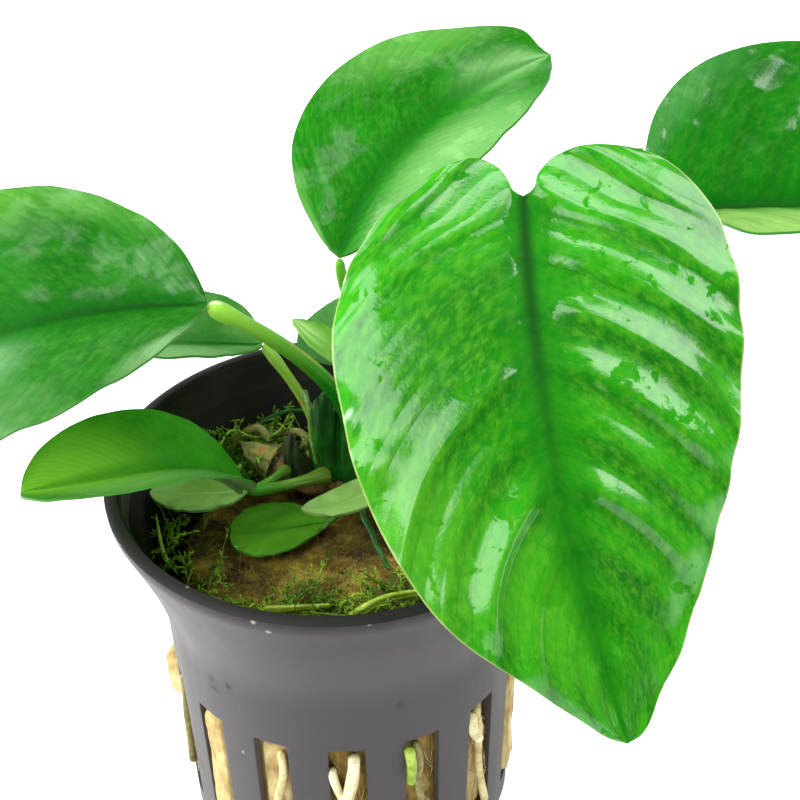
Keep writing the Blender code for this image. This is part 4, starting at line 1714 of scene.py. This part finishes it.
# The grey-green patches on the left leaf's left half are painted sheen.
LEFT_SKIN = LeafSkin(
    "left_leaf", deep="#0A580C", bright="#1C7416", bare=0.86, film_edge=0.25, film_roughness=0.36,
    patch_mm=5.0, sheen_level=0.03, vein_tone_and_shade=0.12,
    tints=((-0.05, 0.2, 0.16, "#045404"), (1.0, 0.42, 0.24, "#62A840"), (0.95, 0.2, 0.16, "#4E9434"),
           (-0.95, 0.5, 0.3, "#4A7C42"), (-0.3, 0.54, 0.22, "#6E9E6E"), (-0.9, 0.12, 0.12, "#7AA46E")))
# The pale yellow-green patches on the right leaf's right half are painted backlight, light shining through
# the blade.
RIGHT_SKIN = LeafSkin(
    "right_leaf", deep="#065E08", bright="#0C780C", bare=1.0, film_edge=0.15, film_roughness=0.2,
    vein_tone_and_shade=0.15,
    tints=((0.75, 0.2, 0.4, "#A4D070"), (0.75, 0.55, 0.4, "#A4D070"), (-1.0, 0.12, 0.2, "#4C904C")))
LOW_SKIN = LeafSkin(
    "low_left_leaf", deep="#24780E", bright="#389418", bare=1.2, film_roughness=0.42, rib="#2A6A1A",
    rib_width=0.03,
    tints=((-0.6, 0.55, 0.3, "#7CAC58"), (0.2, 1.0, 0.68, "#A8EC50")))
BEHIND_SKIN = LeafSkin(
    "behind_left_leaf", deep="#2A6E24", bright="#44863A", bare=1.2, sheen_level=0.3,
    tints=((-0.8, 0.5, 0.5, "#98C48C"),))
PALE_SKIN = LeafSkin(
    "small_pale_leaf", deep="#6C9446", bright="#98B86A", bare=0.8, sheen_level=0.4, film_edge=0.1, cell_mm=0.7,
    cell_share=0.1, rib="#9AB07C")
POT_SIDE_SKIN = LeafSkin(
    "pot_side_leaf", deep="#448A1C", bright="#60A428", bare=0.8, cell_mm=0.7, film_edge=0.1,
    vein_tone_and_shade=0.08, cell_share=0.1)
# The pale patch at the young leaf's tip is painted backlight, light shining through the blade.
YOUNG_SKIN = LeafSkin(
    "young_leaf", deep="#528E28", bright="#68A838", bare=0.7, cell_mm=0.6, rib="#86B858",
    vein_tone_and_shade=0.05, cell_share=0.1, margin="#9AC06A",
    tints=((0.0, 1.0, 0.6, "#C8F0A0"),))
SHADED_SKIN = LeafSkin(
    "shaded_leaf", deep="#468440", bright="#6CA85C", bare=1.2, cell_mm=0.7, film_edge=0.2)

PLAIN_STALK = StalkSkin(
    "green", foot="#7A8A34", middle="#2E7A18", top="#5AA02A")
YELLOW_STALK = StalkSkin(
    "yellow_green", foot="#5E8A2A", middle="#6E9A2C", top="#86B848", scars=0.5,
    tints=((0.4, 0.45, 0.12, "#A08438"), (0.6, 0.25, 0.15, "#96702C")))
# The left leaf's stalk: the pale patch on its upper side by the blade is painted highlight, and its pale
# yellow-green top is partly painted highlight.
DARK_STALK = StalkSkin(
    "dark_green", foot="#0C5E0E", middle="#0C6E0E", top="#94CC44", scars=0.1, streak="#3C8A24",
    tints=((0.52, 0.97, 0.12, "#C8E49A"), (0.56, 0.4, 0.09, "#A0621E"), (0.55, 0.54, 0.08, "#7E8A2A")))
LOW_STALK = StalkSkin(
    "dull_green", foot="#6A7A2C", middle="#4A7A22", top="#2E8A1C")

LEAVES = (
    Leaf("front", (22.5, -6.0, 92.2), 63.0, heading=(-92, -79, -53), pitch=(-22, -47, -65),
         fold=(6, 6), curl=-9, outline=(HEART_LEFT, HEART_RIGHT), lobe=HEART_LOBE, hangs=True,
         columns=150, rows=170, ridge=1.15, wave=0.5, skin=FRONT_SKIN, stalk_skin=PLAIN_STALK,
         puckers=((0.2, 0.3, 0.35, 0.35, 0.8, 0.85, 0.4, 0.75, 0.25, 0.08, 0.04, 0.0, 0.0),
                  (0.1, 0.1, 0.05, -0.05, -0.08, 0.62, 0.4, 1.2, 0.4, 0.15, 0.04, 0.0, 0.0)),
         roll=(0.1, 1.0),
         stalk=Stalk(0.84, -30, 1.2, (2.0, -1.0, 20.0))),
    Leaf("back", (1.3, 17.2, 69.4), 41.6, heading=(63, 48, 22), pitch=(38, 11, 4), fold=(19, 21),
         bank=2, outline=(BLUNT_LEFT, BLUNT_RIGHT), columns=90, rows=90, ridge=0.12, wave=0.08,
         skin=BACK_SKIN, stalk_skin=PLAIN_STALK,
         stalk=Stalk(0.62, 40, 0.65, (0.5, 4.0, 8.0), (-0.3, 2.0, 8.0))),
    Leaf("left", (-13.9, 2.5, 73.6), 53.6, heading=(181, 192, 202), pitch=(5, -13, -30),
         fold=(16, 20), bank=5, half_width=21.4, shape=(0.69, 0.78), columns=100, rows=100,
         ridge=0.22, wave=0.3, skin=LEFT_SKIN, stalk_skin=DARK_STALK,
         stalk=Stalk(0.54, -5, 1.15, (-1.0, 0.0, 12.0), (-8.5, -1.5, 6.6))),
    Leaf("right", (39.1, 17.3, 73.8), 54.0, heading=(9, -3, -10), pitch=(1, -7, -15),
         fold=(42, 31), bank=1, half_width=22.4, shape=(0.41, 0.70), columns=100, rows=100,
         ridge=0.25, wave=0.3, skin=RIGHT_SKIN, stalk_skin=PLAIN_STALK,
         stalk=Stalk(0.93, 30, 1.0, (4.0, 2.0, 12.0), (9.0, 2.5, 4.0))),
    Leaf("low_left", (-10.6, -1.1, 48.8), 30.2, heading=(208, 202, 181), pitch=(57, 6, -9),
         fold=(26, 27), bank=-3, half_width=9.0, shape=(0.63, 0.5), columns=60, rows=70,
         ridge=0.06, wave=0.06, skin=LOW_SKIN, stalk_skin=LOW_STALK,
         stalk=Stalk(0.36, -48, 0.7, (-2.0, -2.5, 1.5), (-3.0, -1.2, 1.0))),
    Leaf("behind_left", (-8.6, 16.0, 58.0), 23.7, heading=(180, 177, 177), pitch=(4, 1, -7),
         fold=(34, 23), bank=8, half_width=7.4, shape=(0.52, 0.82), columns=50, rows=60,
         ridge=0.06, wave=0.1, skin=BEHIND_SKIN, stalk_skin=YELLOW_STALK,
         stalk=Stalk(0.3, 18, 0.7, (-0.5, 1.0, 5.0), (-2.5, 2.0, 2.5))),
    Leaf("under_left", (-11.1, 3.8, 45.0), 12.0, heading=(179, 177, 173), pitch=(-7, -4, 4),
         fold=(11, 10), half_width=4.4, shape=(0.58, 0.7), ridge=0.04, wave=0.1,
         skin=PALE_SKIN, stalk_skin=PLAIN_STALK,
         stalk=Stalk(0.15, -50, 0.5, (-0.5, -1.2, 1.0), (-2.0, -0.5, 0.2))),
    Leaf("pot_side", (-1.4, 2.1, 40.9), 12.1, heading=(185, 184, 179), pitch=(-6, -7, 0),
         fold=(5, 6), half_width=5.0, shape=(0.74, 0.45), ridge=0.04, wave=0.1,
         skin=POT_SIDE_SKIN, stalk_skin=PLAIN_STALK,
         stalk=Stalk(0.46, -88, 0.45, (-0.2, -0.8, 0.0), (-1.0, -0.3, -0.1))),
    Leaf("narrow", (7.1, 2.9, 47.3), 12.8, heading=(221, 203, 182), pitch=(-16, -7, 7),
         fold=(13, 18), bank=5, half_width=2.4, shape=(0.6, 0.68), ridge=0.03, wave=0.08,
         skin=PALE_SKIN, stalk_skin=PLAIN_STALK,
         stalk=Stalk(0.75, -52, 0.45, (0.1, -0.3, 1.4), (-0.9, -0.7, -0.1))),
    Leaf("young", (4.8, 10.3, 57.1), 12.0, heading=(186, 170, 156), pitch=(36, 37, 39),
         fold=(19, 24), bank=5, half_width=2.7, shape=(0.55, 0.8), ridge=0.03, wave=0.08,
         slot=Slot.YOUNG, skin=YOUNG_SKIN, stalk_skin=YELLOW_STALK,
         stalk=Stalk(0.72, 40, 0.45, (0.2, 0.8, 4.0), (-1.5, 0.2, 2.5))),
    Leaf("shaded", (0.3, 16.5, 53.7), 9.1, heading=(76, 77, 78), pitch=(58, 45, 34),
         fold=(13, 15), half_width=5.2, shape=(0.42, 0.98), ridge=0.03, wave=0.1,
         skin=SHADED_SKIN, stalk_skin=PLAIN_STALK,
         stalk=Stalk(0.46, 55, 0.5, (0.0, 2.5, 1.5), (0.0, 1.0, 2.0))),
)


@dataclass(frozen=True)
class Sheath:
    """A leaf base that wraps part of the way round the crown and ends in a thin point.

    It lies round its route on the side that it faces, as far as half_angle degrees to each side,
    and radius holds its distance from the route at its foot and at its top.
    """

    name: str
    route: tuple[Triple, ...]
    face: Triple
    radius: tuple[float, float]
    half_angle: float
    skin: Mottled
    thickness: float = 0.22

    def build(self) -> Piece:
        """Makes the sheath.

        Returns:
            The sheath.
        """
        path = Path(smooth_curve(np.array(self.route), 50))

        def place(u: Array, v: Array) -> Array:
            """The sheath's points, drawn in to a point at its top."""
            along = path.at(path.along, v)
            out = unit(np.array(self.face) - along * (along @ np.array(self.face))[:, None])
            side = np.cross(along, out)
            half = math.radians(self.half_angle) * np.maximum(1 - v ** 2.2, 0.0)
            angle = (2 * u - 1) * half
            reach = self.radius[0] + (self.radius[1] - self.radius[0]) * v
            reach = reach * (1 + 0.06 * np.cos(angle * 9))
            away = out * np.cos(angle)[:, None] + side * np.sin(angle)[:, None]
            return path.at(path.line, v) + away * reach[:, None]

        sheath = dress(lay_grid(self.name, 24, 40, place), self.skin.skin())
        apply_modifier(sheath, "SOLIDIFY", thickness=self.thickness * MM, offset=-1.0,
                       use_quality_normals=True)
        return sheath


@dataclass(frozen=True)
class Scrap:
    """A rootlet, stem or strip of leaf that lies on the wool or hangs on the pot's wall.

    flat is its thickness over its width and taper the share of its size that it loses on its way.
    """

    name: str
    route: tuple[Triple, ...]
    radius: float
    skin: Mottled = STRIP_SKIN
    flat: float = 1.0
    taper: float = 0.4
    slot: Slot = Slot.STALK


SHEATHS = (
    Sheath("sheath_front", ((-0.6, 8.6, 43.6), (-0.8, 9.0, 49.0), (0.2, 9.6, 56.0)),
           (-0.6, -0.8, 0.1), (2.6, 2.2), 105, GREEN_SHEATH),
    Sheath("sheath_back", ((2.6, 7.6, 43.8), (2.4, 8.2, 49.0), (3.2, 9.2, 58.0)),
           (-0.5, -0.9, 0.1), (3.0, 2.4), 110, GREEN_SHEATH),
    Sheath("sheath_right", ((10.5, 4.5, 43.6), (11.0, 4.0, 48.5), (12.0, 3.4, 54.0)),
           (0.5, -0.9, 0.0), (2.5, 2.0), 110, GREEN_SHEATH),
    Sheath("sheath_near_black", ((-4.2, 9.0, 43.4), (-4.6, 9.4, 46.2), (-4.4, 9.8, 49.2)),
           (-0.7, -0.7, 0.2), (2.2, 1.6), 95, NEAR_BLACK_SHEATH),
    Sheath("sheath_end", ((-7.8, 10.4, 43.6), (-9.8, 11.4, 44.2), (-12.0, 12.6, 45.4)),
           (-0.3, -0.6, 0.8), (2.4, 1.1), 75, DRY_SHEATH),
)
SCRAPS = (
    Scrap("strip_by_lip", ((1.0, -15.2, 39.7), (5.0, -13.9, 41.3), (9.5, -13.2, 41.7), (13.0, -12.2, 41.0)),
          0.85, flat=0.3, taper=0.6),
    Scrap("strip_by_lip_2", ((-9.0, -12.6, 39.4), (-5.0, -13.6, 40.4), (-1.0, -13.2, 40.2)),
          0.55, flat=0.4, taper=0.5),
    Scrap("strip_left", ((-20.6, -4.2, 39.4), (-21.6, -1.4, 40.4), (-22.3, 2.4, 42.2)),
          0.6, flat=0.4, taper=0.6),
    Scrap("green_runner", ((-13.5, 13.6, 40.2), (-10.4, 17.6, 43.6), (-5.6, 19.8, 44.6), (-1.0, 18.8, 43.4)),
          0.4, DARK_STEM),
    Scrap("rootlet_1", ((-15.6, 12.6, 42.6), (-13.4, 15.4, 45.0), (-10.6, 15.6, 43.8), (-7.6, 15.4, 44.4),
                        (-5.8, 16.4, 46.6)), 0.2),
    Scrap("rootlet_2", ((-11.6, 17.0, 43.6), (-8.6, 17.8, 42.6), (-5.4, 16.0, 44.2), (-3.2, 13.6, 44.4)),
          0.18),
    Scrap("strip_on_sheath", ((-3.6, 9.4, 55.4), (-3.0, 7.4, 53.6), (-2.95, 6.4, 50.6), (-2.5, 6.2, 46.4)),
          0.5, DULL_STRIP, flat=0.6, taper=0.5),
    Scrap("shoot_by_crown", ((-2.6, 9.2, 45.6), (-2.2, 7.8, 45.0), (-1.4, 6.2, 43.4)),
          0.5, taper=0.5),
    Scrap("slot_leaf_bit", ((7.5, -20.1, 23.2), (7.75, -20.55, 20.6), (7.6, -20.5, 17.4)),
          0.75, flat=0.5, taper=0.3),
    Scrap("slot_0_root", ((0.9, -20.6, 22.8), (0.7, -21.0, 20.6), (0.0, -21.0, 17.2), (-1.0, -20.6, 12.0)),
          0.78, WHITE_ROOT, taper=0.3, slot=Slot.ROOT),
    Scrap("slot_0_root_2", ((-2.0, -20.3, 20.6), (-1.6, -20.7, 18.4), (-0.6, -20.6, 15.0),
                            (1.2, -20.4, 11.0)), 0.6, WHITE_ROOT, taper=0.3, slot=Slot.ROOT),
    Scrap("slot_2_root", ((15.1, -13.9, 22.6), (15.4, -14.2, 20.2), (16.3, -13.3, 17.6)),
          0.85, WHITE_ROOT, taper=0.3, slot=Slot.ROOT),
)

# Tufts of moss: (place, spread, how upright, how many threads).
MOSS_TUFTS = (((-9.0, 14.5, 42.0), (4.0, 2.5), 0.5, 80), ((-12.0, 16.0, 41.0), (3.0, 2.0), 0.35, 60),
              ((-1.0, 16.5, 41.5), (4.0, 2.5), 0.5, 50),
              ((-2.0, -13.0, 39.2), (5.0, 1.2), 0.6, 90), ((9.0, -12.0, 39.6), (4.0, 1.6), 0.6, 70),
              ((-20.5, -1.0, 40.0), (0.8, 3.0), 1.0, 26), ((-16.0, -8.5, 39.5), (2.0, 2.0), 0.5, 18),
              ((12.0, 8.0, 39.5), (4.0, 4.0), 0.5, 40))


# ---------------------------------------------------------------- the whole plant

class Plant:
    """The whole potted plant, built and dressed piece by piece."""

    # Each leaf draws three seeds of its own, from this one on.
    LEAF_SEED = 100
    SEED_STEP = 7
    # The slots whose roots are as dull as those over the wool, and those without loose fibres.
    OLD_ROOT_SLOTS = (1, 11)
    SMOOTH_SLOTS = (3, 4, 12, 13)
    # How far out of the wool the slots' roots lie, how thick they are and how they sway.
    SLOT_ROOT_OUT = 1.0
    SLOT_ROOT_RADIUS = 0.52
    SLOT_ROOT_SWAY = 0.35
    # How many fibres lie on the plug's top and in each slot, and how many leaflets a moss stem has.
    TOP_FIBRES = 900
    SLOT_FIBRES = 30
    LEAFLETS = 7
    # Fibres start this far out and this high on the plug's top.
    TOP_REACH = 18.6
    TOP_HEIGHT = 38.7
    # The patch of wool under the leaf that lies on it: its middle and half its size.
    PRESSED = ((-7.5, 1.6), (8.0, 7.0))

    def __init__(self) -> None:
        """Sets up the pot, the wool and the rhizome that the rest stands on."""
        self.pot = NetPot()
        self.wool = WoolPlug(self.pot)
        self.rhizome = Rhizome()

    def build_pot(self) -> None:
        """Builds the pot and its plug of wool."""
        hand_over(self.pot.build(), Slot.POT, "net_pot")
        hand_over(self.wool.build(), Slot.WOOL, "rock_wool_plug")

    def build_leaves(self) -> None:
        """Builds the rhizome and each leaf on it."""
        hand_over(self.rhizome.build(), Slot.BARK, "rhizome")
        for i, leaf in enumerate(LEAVES):
            midrib = Midrib(leaf)
            blade = Blade(leaf, midrib, self.LEAF_SEED + self.SEED_STEP * i).build()
            hand_over(blade, leaf.slot, leaf.name + "_leaf_blade")
            stalk = LeafStalk(leaf, midrib, self.rhizome).build()
            hand_over(stalk, Slot.STALK, leaf.name + "_leaf_stalk")

    def build_roots(self) -> None:
        """Builds the thick roots over the wool and in the slots."""
        skin = ROOT_SKIN.skin()
        cream = SLOT_ROOT_SKIN.skin()
        green = DARK_STEM.skin()
        for i, (name, (size, route)) in enumerate(ROOT_ROUTES.items()):
            line = smooth_curve(np.array(route), 50)
            line += 0.12 * np.stack([swell(line, 1.6, 40 + i + k) for k in range(3)], axis=1)

            def radius(t: Array, angle: Array, size: float = size) -> Array:
                """The root's radii: it thins to its tip and swells a little."""
                return size * (1 - 0.4 * t) * (1 + 0.08 * np.sin(9 * t + angle))

            root = lay_tube(name + "_detail", Path(line), radius, sides=12, rows=60)
            hand_over(dress(root, green if name == "root_front" else skin), Slot.ROOT, name)
        for root in SLOT_ROOTS:
            piece = dress(self.slot_root(root), skin if root.slot in self.OLD_ROOT_SLOTS else cream)
            hand_over(piece, Slot.ROOT, f"slot_root_{root.slot:02d}")

    def slot_root(self, root: SlotRoot) -> Piece:
        """Makes one root that stands in a slot of the pot.

        Args:
            root: The root.

        Returns:
            The piece.
        """
        reach = self.wool.edge[-1][0] + self.SLOT_ROOT_OUT
        angle = self.pot.slot_angle(root.slot)
        t = np.linspace(0, 1, 50)
        shift = root.top_shift + (root.foot_shift - root.top_shift) * t
        shift = shift + self.SLOT_ROOT_SWAY * np.sin(2.5 * math.pi * t)
        line = np.stack([reach * math.cos(angle) - shift * math.sin(angle),
                         reach * math.sin(angle) + shift * math.cos(angle),
                         root.top + (root.foot - root.top) * t], axis=1)

        def radius(t: Array, angle: Array) -> Array:
            """The root's radii, with faint swellings."""
            return self.SLOT_ROOT_RADIUS * (1 + 0.1 * np.sin(11 * t + root.slot + angle))

        return lay_tube(f"slot_root_{root.slot:02d}_detail", Path(line), radius, sides=12, rows=50)

    def build_loose(self) -> None:
        """Builds the loose wool fibres and the moss."""
        rng = np.random.default_rng(21)
        inside = self.pot.keep_inside
        wool = Strands("wool_fibres", seed=31)
        for _ in range(self.TOP_FIBRES):
            reach = self.TOP_REACH * math.sqrt(rng.uniform())
            angle = rng.uniform(0, 2 * math.pi)
            start = ring(reach, angle, self.TOP_HEIGHT)
            heading = np.array((*rng.normal(size=2), 0.2))
            if np.linalg.norm((start[:2] - self.PRESSED[0]) / np.array(self.PRESSED[1])) >= 1.0:
                wool.add(start, heading, rng.uniform(2.0, 5.0), 0.055, 1.2, lie=0.3, hold=inside)
        dry = Strands("slot_fibres", seed=34)
        for i in range(self.pot.slots):
            middle = self.pot.slot_angle(i)
            smooth = i in self.wool.lumps or i in self.SMOOTH_SLOTS
            reach = self.wool.slot_radius
            for _ in range(0 if smooth else self.SLOT_FIBRES):
                angle = middle + rng.uniform(-1.7, 1.7) / reach
                height = rng.uniform(self.pot.slot_low + 3.0, self.pot.slot_top - 3.0)
                start = ring(reach, angle, height)
                heading = np.array((*rng.normal(size=2) * 0.3, rng.choice((-1.0, 1.0))))
                dry.add(start, heading, rng.uniform(2.0, 3.5), 0.06, 0.5, hold=self.wool.cling)
        for strands, finish in ((wool, DAMP_FIBRE), (dry, WOOL_FIBRE)):
            hand_over(dress(strands.build(), finish.skin()), Slot.WOOL)

        stems = Strands("moss", seed=32)
        leaflets = Strands("moss_leaflets", seed=33, knots=4)
        for place, spread, rise, count in MOSS_TUFTS:
            for _ in range(count):
                start = np.array(place) + rng.normal(size=3) * np.array((*spread, 0.3))
                heading = np.array((*rng.normal(size=2), rng.uniform(0.1, 1.0) * rise))
                line = stems.add(start, heading, rng.uniform(2.5, 6.5), rng.uniform(0.07, 0.16), 1.8,
                                 lie=0.5, hold=inside)
                for _ in range(self.LEAFLETS):
                    root = line[rng.integers(1, len(line))]
                    leaflets.add(root.copy(), rng.normal(size=3) + (0, 0, 0.4), rng.uniform(0.6, 1.1),
                                 0.15, 0.3)
        wet = MOSS_SKIN.skin()
        moss = [dress(strands.build(), wet) for strands in (stems, leaflets)]
        hand_over(join(moss, "moss"), Slot.STALK)

    def build_scraps(self) -> None:
        """Builds the sheaths of the crown and the scraps of leaf and root that lie on the wool."""
        hand_over(join([sheath.build() for sheath in SHEATHS], "leaf_sheaths"), Slot.STALK)
        skins = {}
        for scrap in SCRAPS:
            line = smooth_curve(np.array(scrap.route), 40)

            def radius(t: Array, angle: Array, scrap: Scrap = scrap) -> Array:
                """The scrap's radii: flattened, and thinner to its tip."""
                narrow = np.sqrt(np.cos(angle) ** 2 + (scrap.flat * np.sin(angle)) ** 2)
                return scrap.radius * narrow * (1 - scrap.taper * t)

            if scrap.skin.name not in skins:
                skins[scrap.skin.name] = scrap.skin.skin()
            piece = lay_tube(scrap.name, Path(line), radius, sides=12, rows=40)
            hand_over(dress(piece, skins[scrap.skin.name]), scrap.slot)


# ---------------------------------------------------------------- studio

@dataclass
class Studio:
    """The photographer's table: a pale floor, four soft lights and the camera."""

    # Each soft light's name, place, width, height, radiance and turn.
    SOFTBOXES = (("left_softbox", (-0.33, -0.17, 0.55), 0.56, 0.50, 4.1, 0.0),
                 ("right_softbox", (0.37, 0.02, 0.53), 0.40, 0.32, 5.6, 30.0),
                 ("back_softbox", (0.03, 0.17, 0.64), 0.30, 0.11, 5.6, 0.0),
                 ("low_left_softbox", (-0.58, 0.1, 0.2), 0.4, 0.3, 14.0, 0.0))

    pitch_deg: float = 36.7
    roll: float = 0.0386
    lens_mm: float = 135.0
    sensor_mm: float = 36.0
    frame_px: float = 800.0
    table_m: float = 6.0
    # The middle of the pot's mouth, where the photograph shows it, and the scale there.
    mouth_mm: Triple = (0.0, 0.0, 50.0)
    mouth_px: tuple[float, float] = (335.8, 471.4)
    px_per_mm: float = 8.32

    def camera(self) -> None:
        """Sets the camera up at the photograph's viewing angle."""
        focal_px = self.lens_mm / self.sensor_mm * self.frame_px
        distance = focal_px / self.px_per_mm
        pitch = math.radians(self.pitch_deg)
        ahead = Vector((0.0, math.cos(pitch), -math.sin(pitch)))
        level = Vector((1.0, 0.0, 0.0))
        upright = level.cross(ahead)
        side = level * math.cos(self.roll) - upright * math.sin(self.roll)
        over = level * math.sin(self.roll) + upright * math.cos(self.roll)
        centre_px = self.frame_px / 2
        shift_x = (self.mouth_px[0] - centre_px) / self.px_per_mm
        shift_y = (centre_px - self.mouth_px[1]) / self.px_per_mm
        place = Vector(self.mouth_mm) - ahead * distance - side * shift_x - over * shift_y
        camera = bpy.data.cameras.new("photo_camera")
        camera.lens = self.lens_mm
        camera.sensor_width = self.sensor_mm
        camera.clip_start = 0.01
        holder = bpy.data.objects.new("photo_camera", camera)
        turn = Matrix((side, over, -ahead)).transposed()
        holder.matrix_world = Matrix.Translation(place * MM) @ turn.to_4x4()
        bpy.context.scene.collection.objects.link(holder)
        bpy.context.scene.camera = holder

    def softbox(self, name: str, place: Triple, width: float, height: float,
                radiance: float, turn_deg: float) -> None:
        """Hangs a soft rectangular light that faces the plant.

        Args:
            name: Its name.
            place: Where it hangs, in metres.
            width: Its width in metres.
            height: Its height in metres.
            radiance: How bright its cloth is, in watts per square metre and steradian.
            turn_deg: How far it is turned about its own middle.
        """
        lamp = bpy.data.lights.new(name, "AREA")
        lamp.shape = "RECTANGLE"
        lamp.size = width
        lamp.size_y = height
        lamp.energy = radiance * math.pi * width * height
        holder = bpy.data.objects.new(name, lamp)
        holder.location = place
        aim = Vector((0.0, 0.0, 0.06)) - Vector(place)
        turn = Quaternion((0.0, 0.0, 1.0), math.radians(turn_deg))
        holder.rotation_euler = (aim.to_track_quat("-Z", "Y") @ turn).to_euler()
        holder.visible_camera = False
        bpy.context.scene.collection.objects.link(holder)

    def floor(self) -> None:
        """Lays the pale table top, which glows a little so that it stays white to its edges."""
        deselect_all()
        bpy.ops.mesh.primitive_plane_add(size=self.table_m, location=(0.0, 0.0, -0.2 * MM))
        floor = bpy.context.object
        floor.name = "table_top"
        material, tree, shader, body, _ = start_material("white_laminate")
        dust = add_node(tree, "TexNoise", body, 30.0, 2.0)
        # A satin surface mirrors the table's shaded middle, not its bright far parts.
        glossy = add_node(tree, "LightPath").outputs["Is Glossy Ray"]
        feed(tree, shader, {"Base Color": "#E8E8E8", "Emission Color": "#FFFFFF",
                            "Roughness": add_node(tree, "MapRange", dust, 0.0, 1.0, 0.8, 0.9),
                            "Emission Strength": add_node(tree, "Mix", glossy, 0.62, 0.1)})
        dress(floor, material)

    def world(self) -> None:
        """Sets a white backdrop in a dim room: only the camera and the skin's own light see it."""
        world = bpy.data.worlds.new("white_backdrop")
        world.use_nodes = True
        tree = world.node_tree
        tree.nodes.clear()
        path = add_node(tree, "LightPath")
        # A mirror sees a dark room, but for the foot of the backdrop behind the plant.
        way = add_node(tree, "SeparateXYZ", add_node(tree, "TexCoord").outputs["Generated"])
        behind = add_node(tree, "MapRange", way.outputs["Y"], 0.2, 0.6, **SMOOTH)
        glow = add_node(tree, "MapRange", way.outputs["Z"], 0.3, 0.05, 0.0, behind, **SMOOTH)
        level = add_node(tree, "Mix", glow, 0.03, 1.0)
        level = add_node(tree, "Mix", path.outputs["Is Diffuse Ray"], level, 0.5)
        level = add_node(tree, "Mix", path.outputs["Is Camera Ray"], level, 1.0)
        add_node(tree, "OutputWorld", add_node(tree, "Background", "#FFFFFF", level))
        bpy.context.scene.world = world

    def build(self) -> None:
        """Sets the whole studio up."""
        self.floor()
        self.world()
        for row in self.SOFTBOXES:
            self.softbox(*row)
        self.camera()
        bpy.context.scene.view_settings.view_transform = "Standard"


def main() -> None:
    """Builds the plant and the studio."""
    logging.basicConfig(level=logging.INFO, format="%(message)s", stream=sys.stdout)
    plant = Plant()
    plant.build_pot()
    plant.build_leaves()
    plant.build_roots()
    plant.build_loose()
    plant.build_scraps()
    Studio().build()


if __name__ == "__main__":
    main()
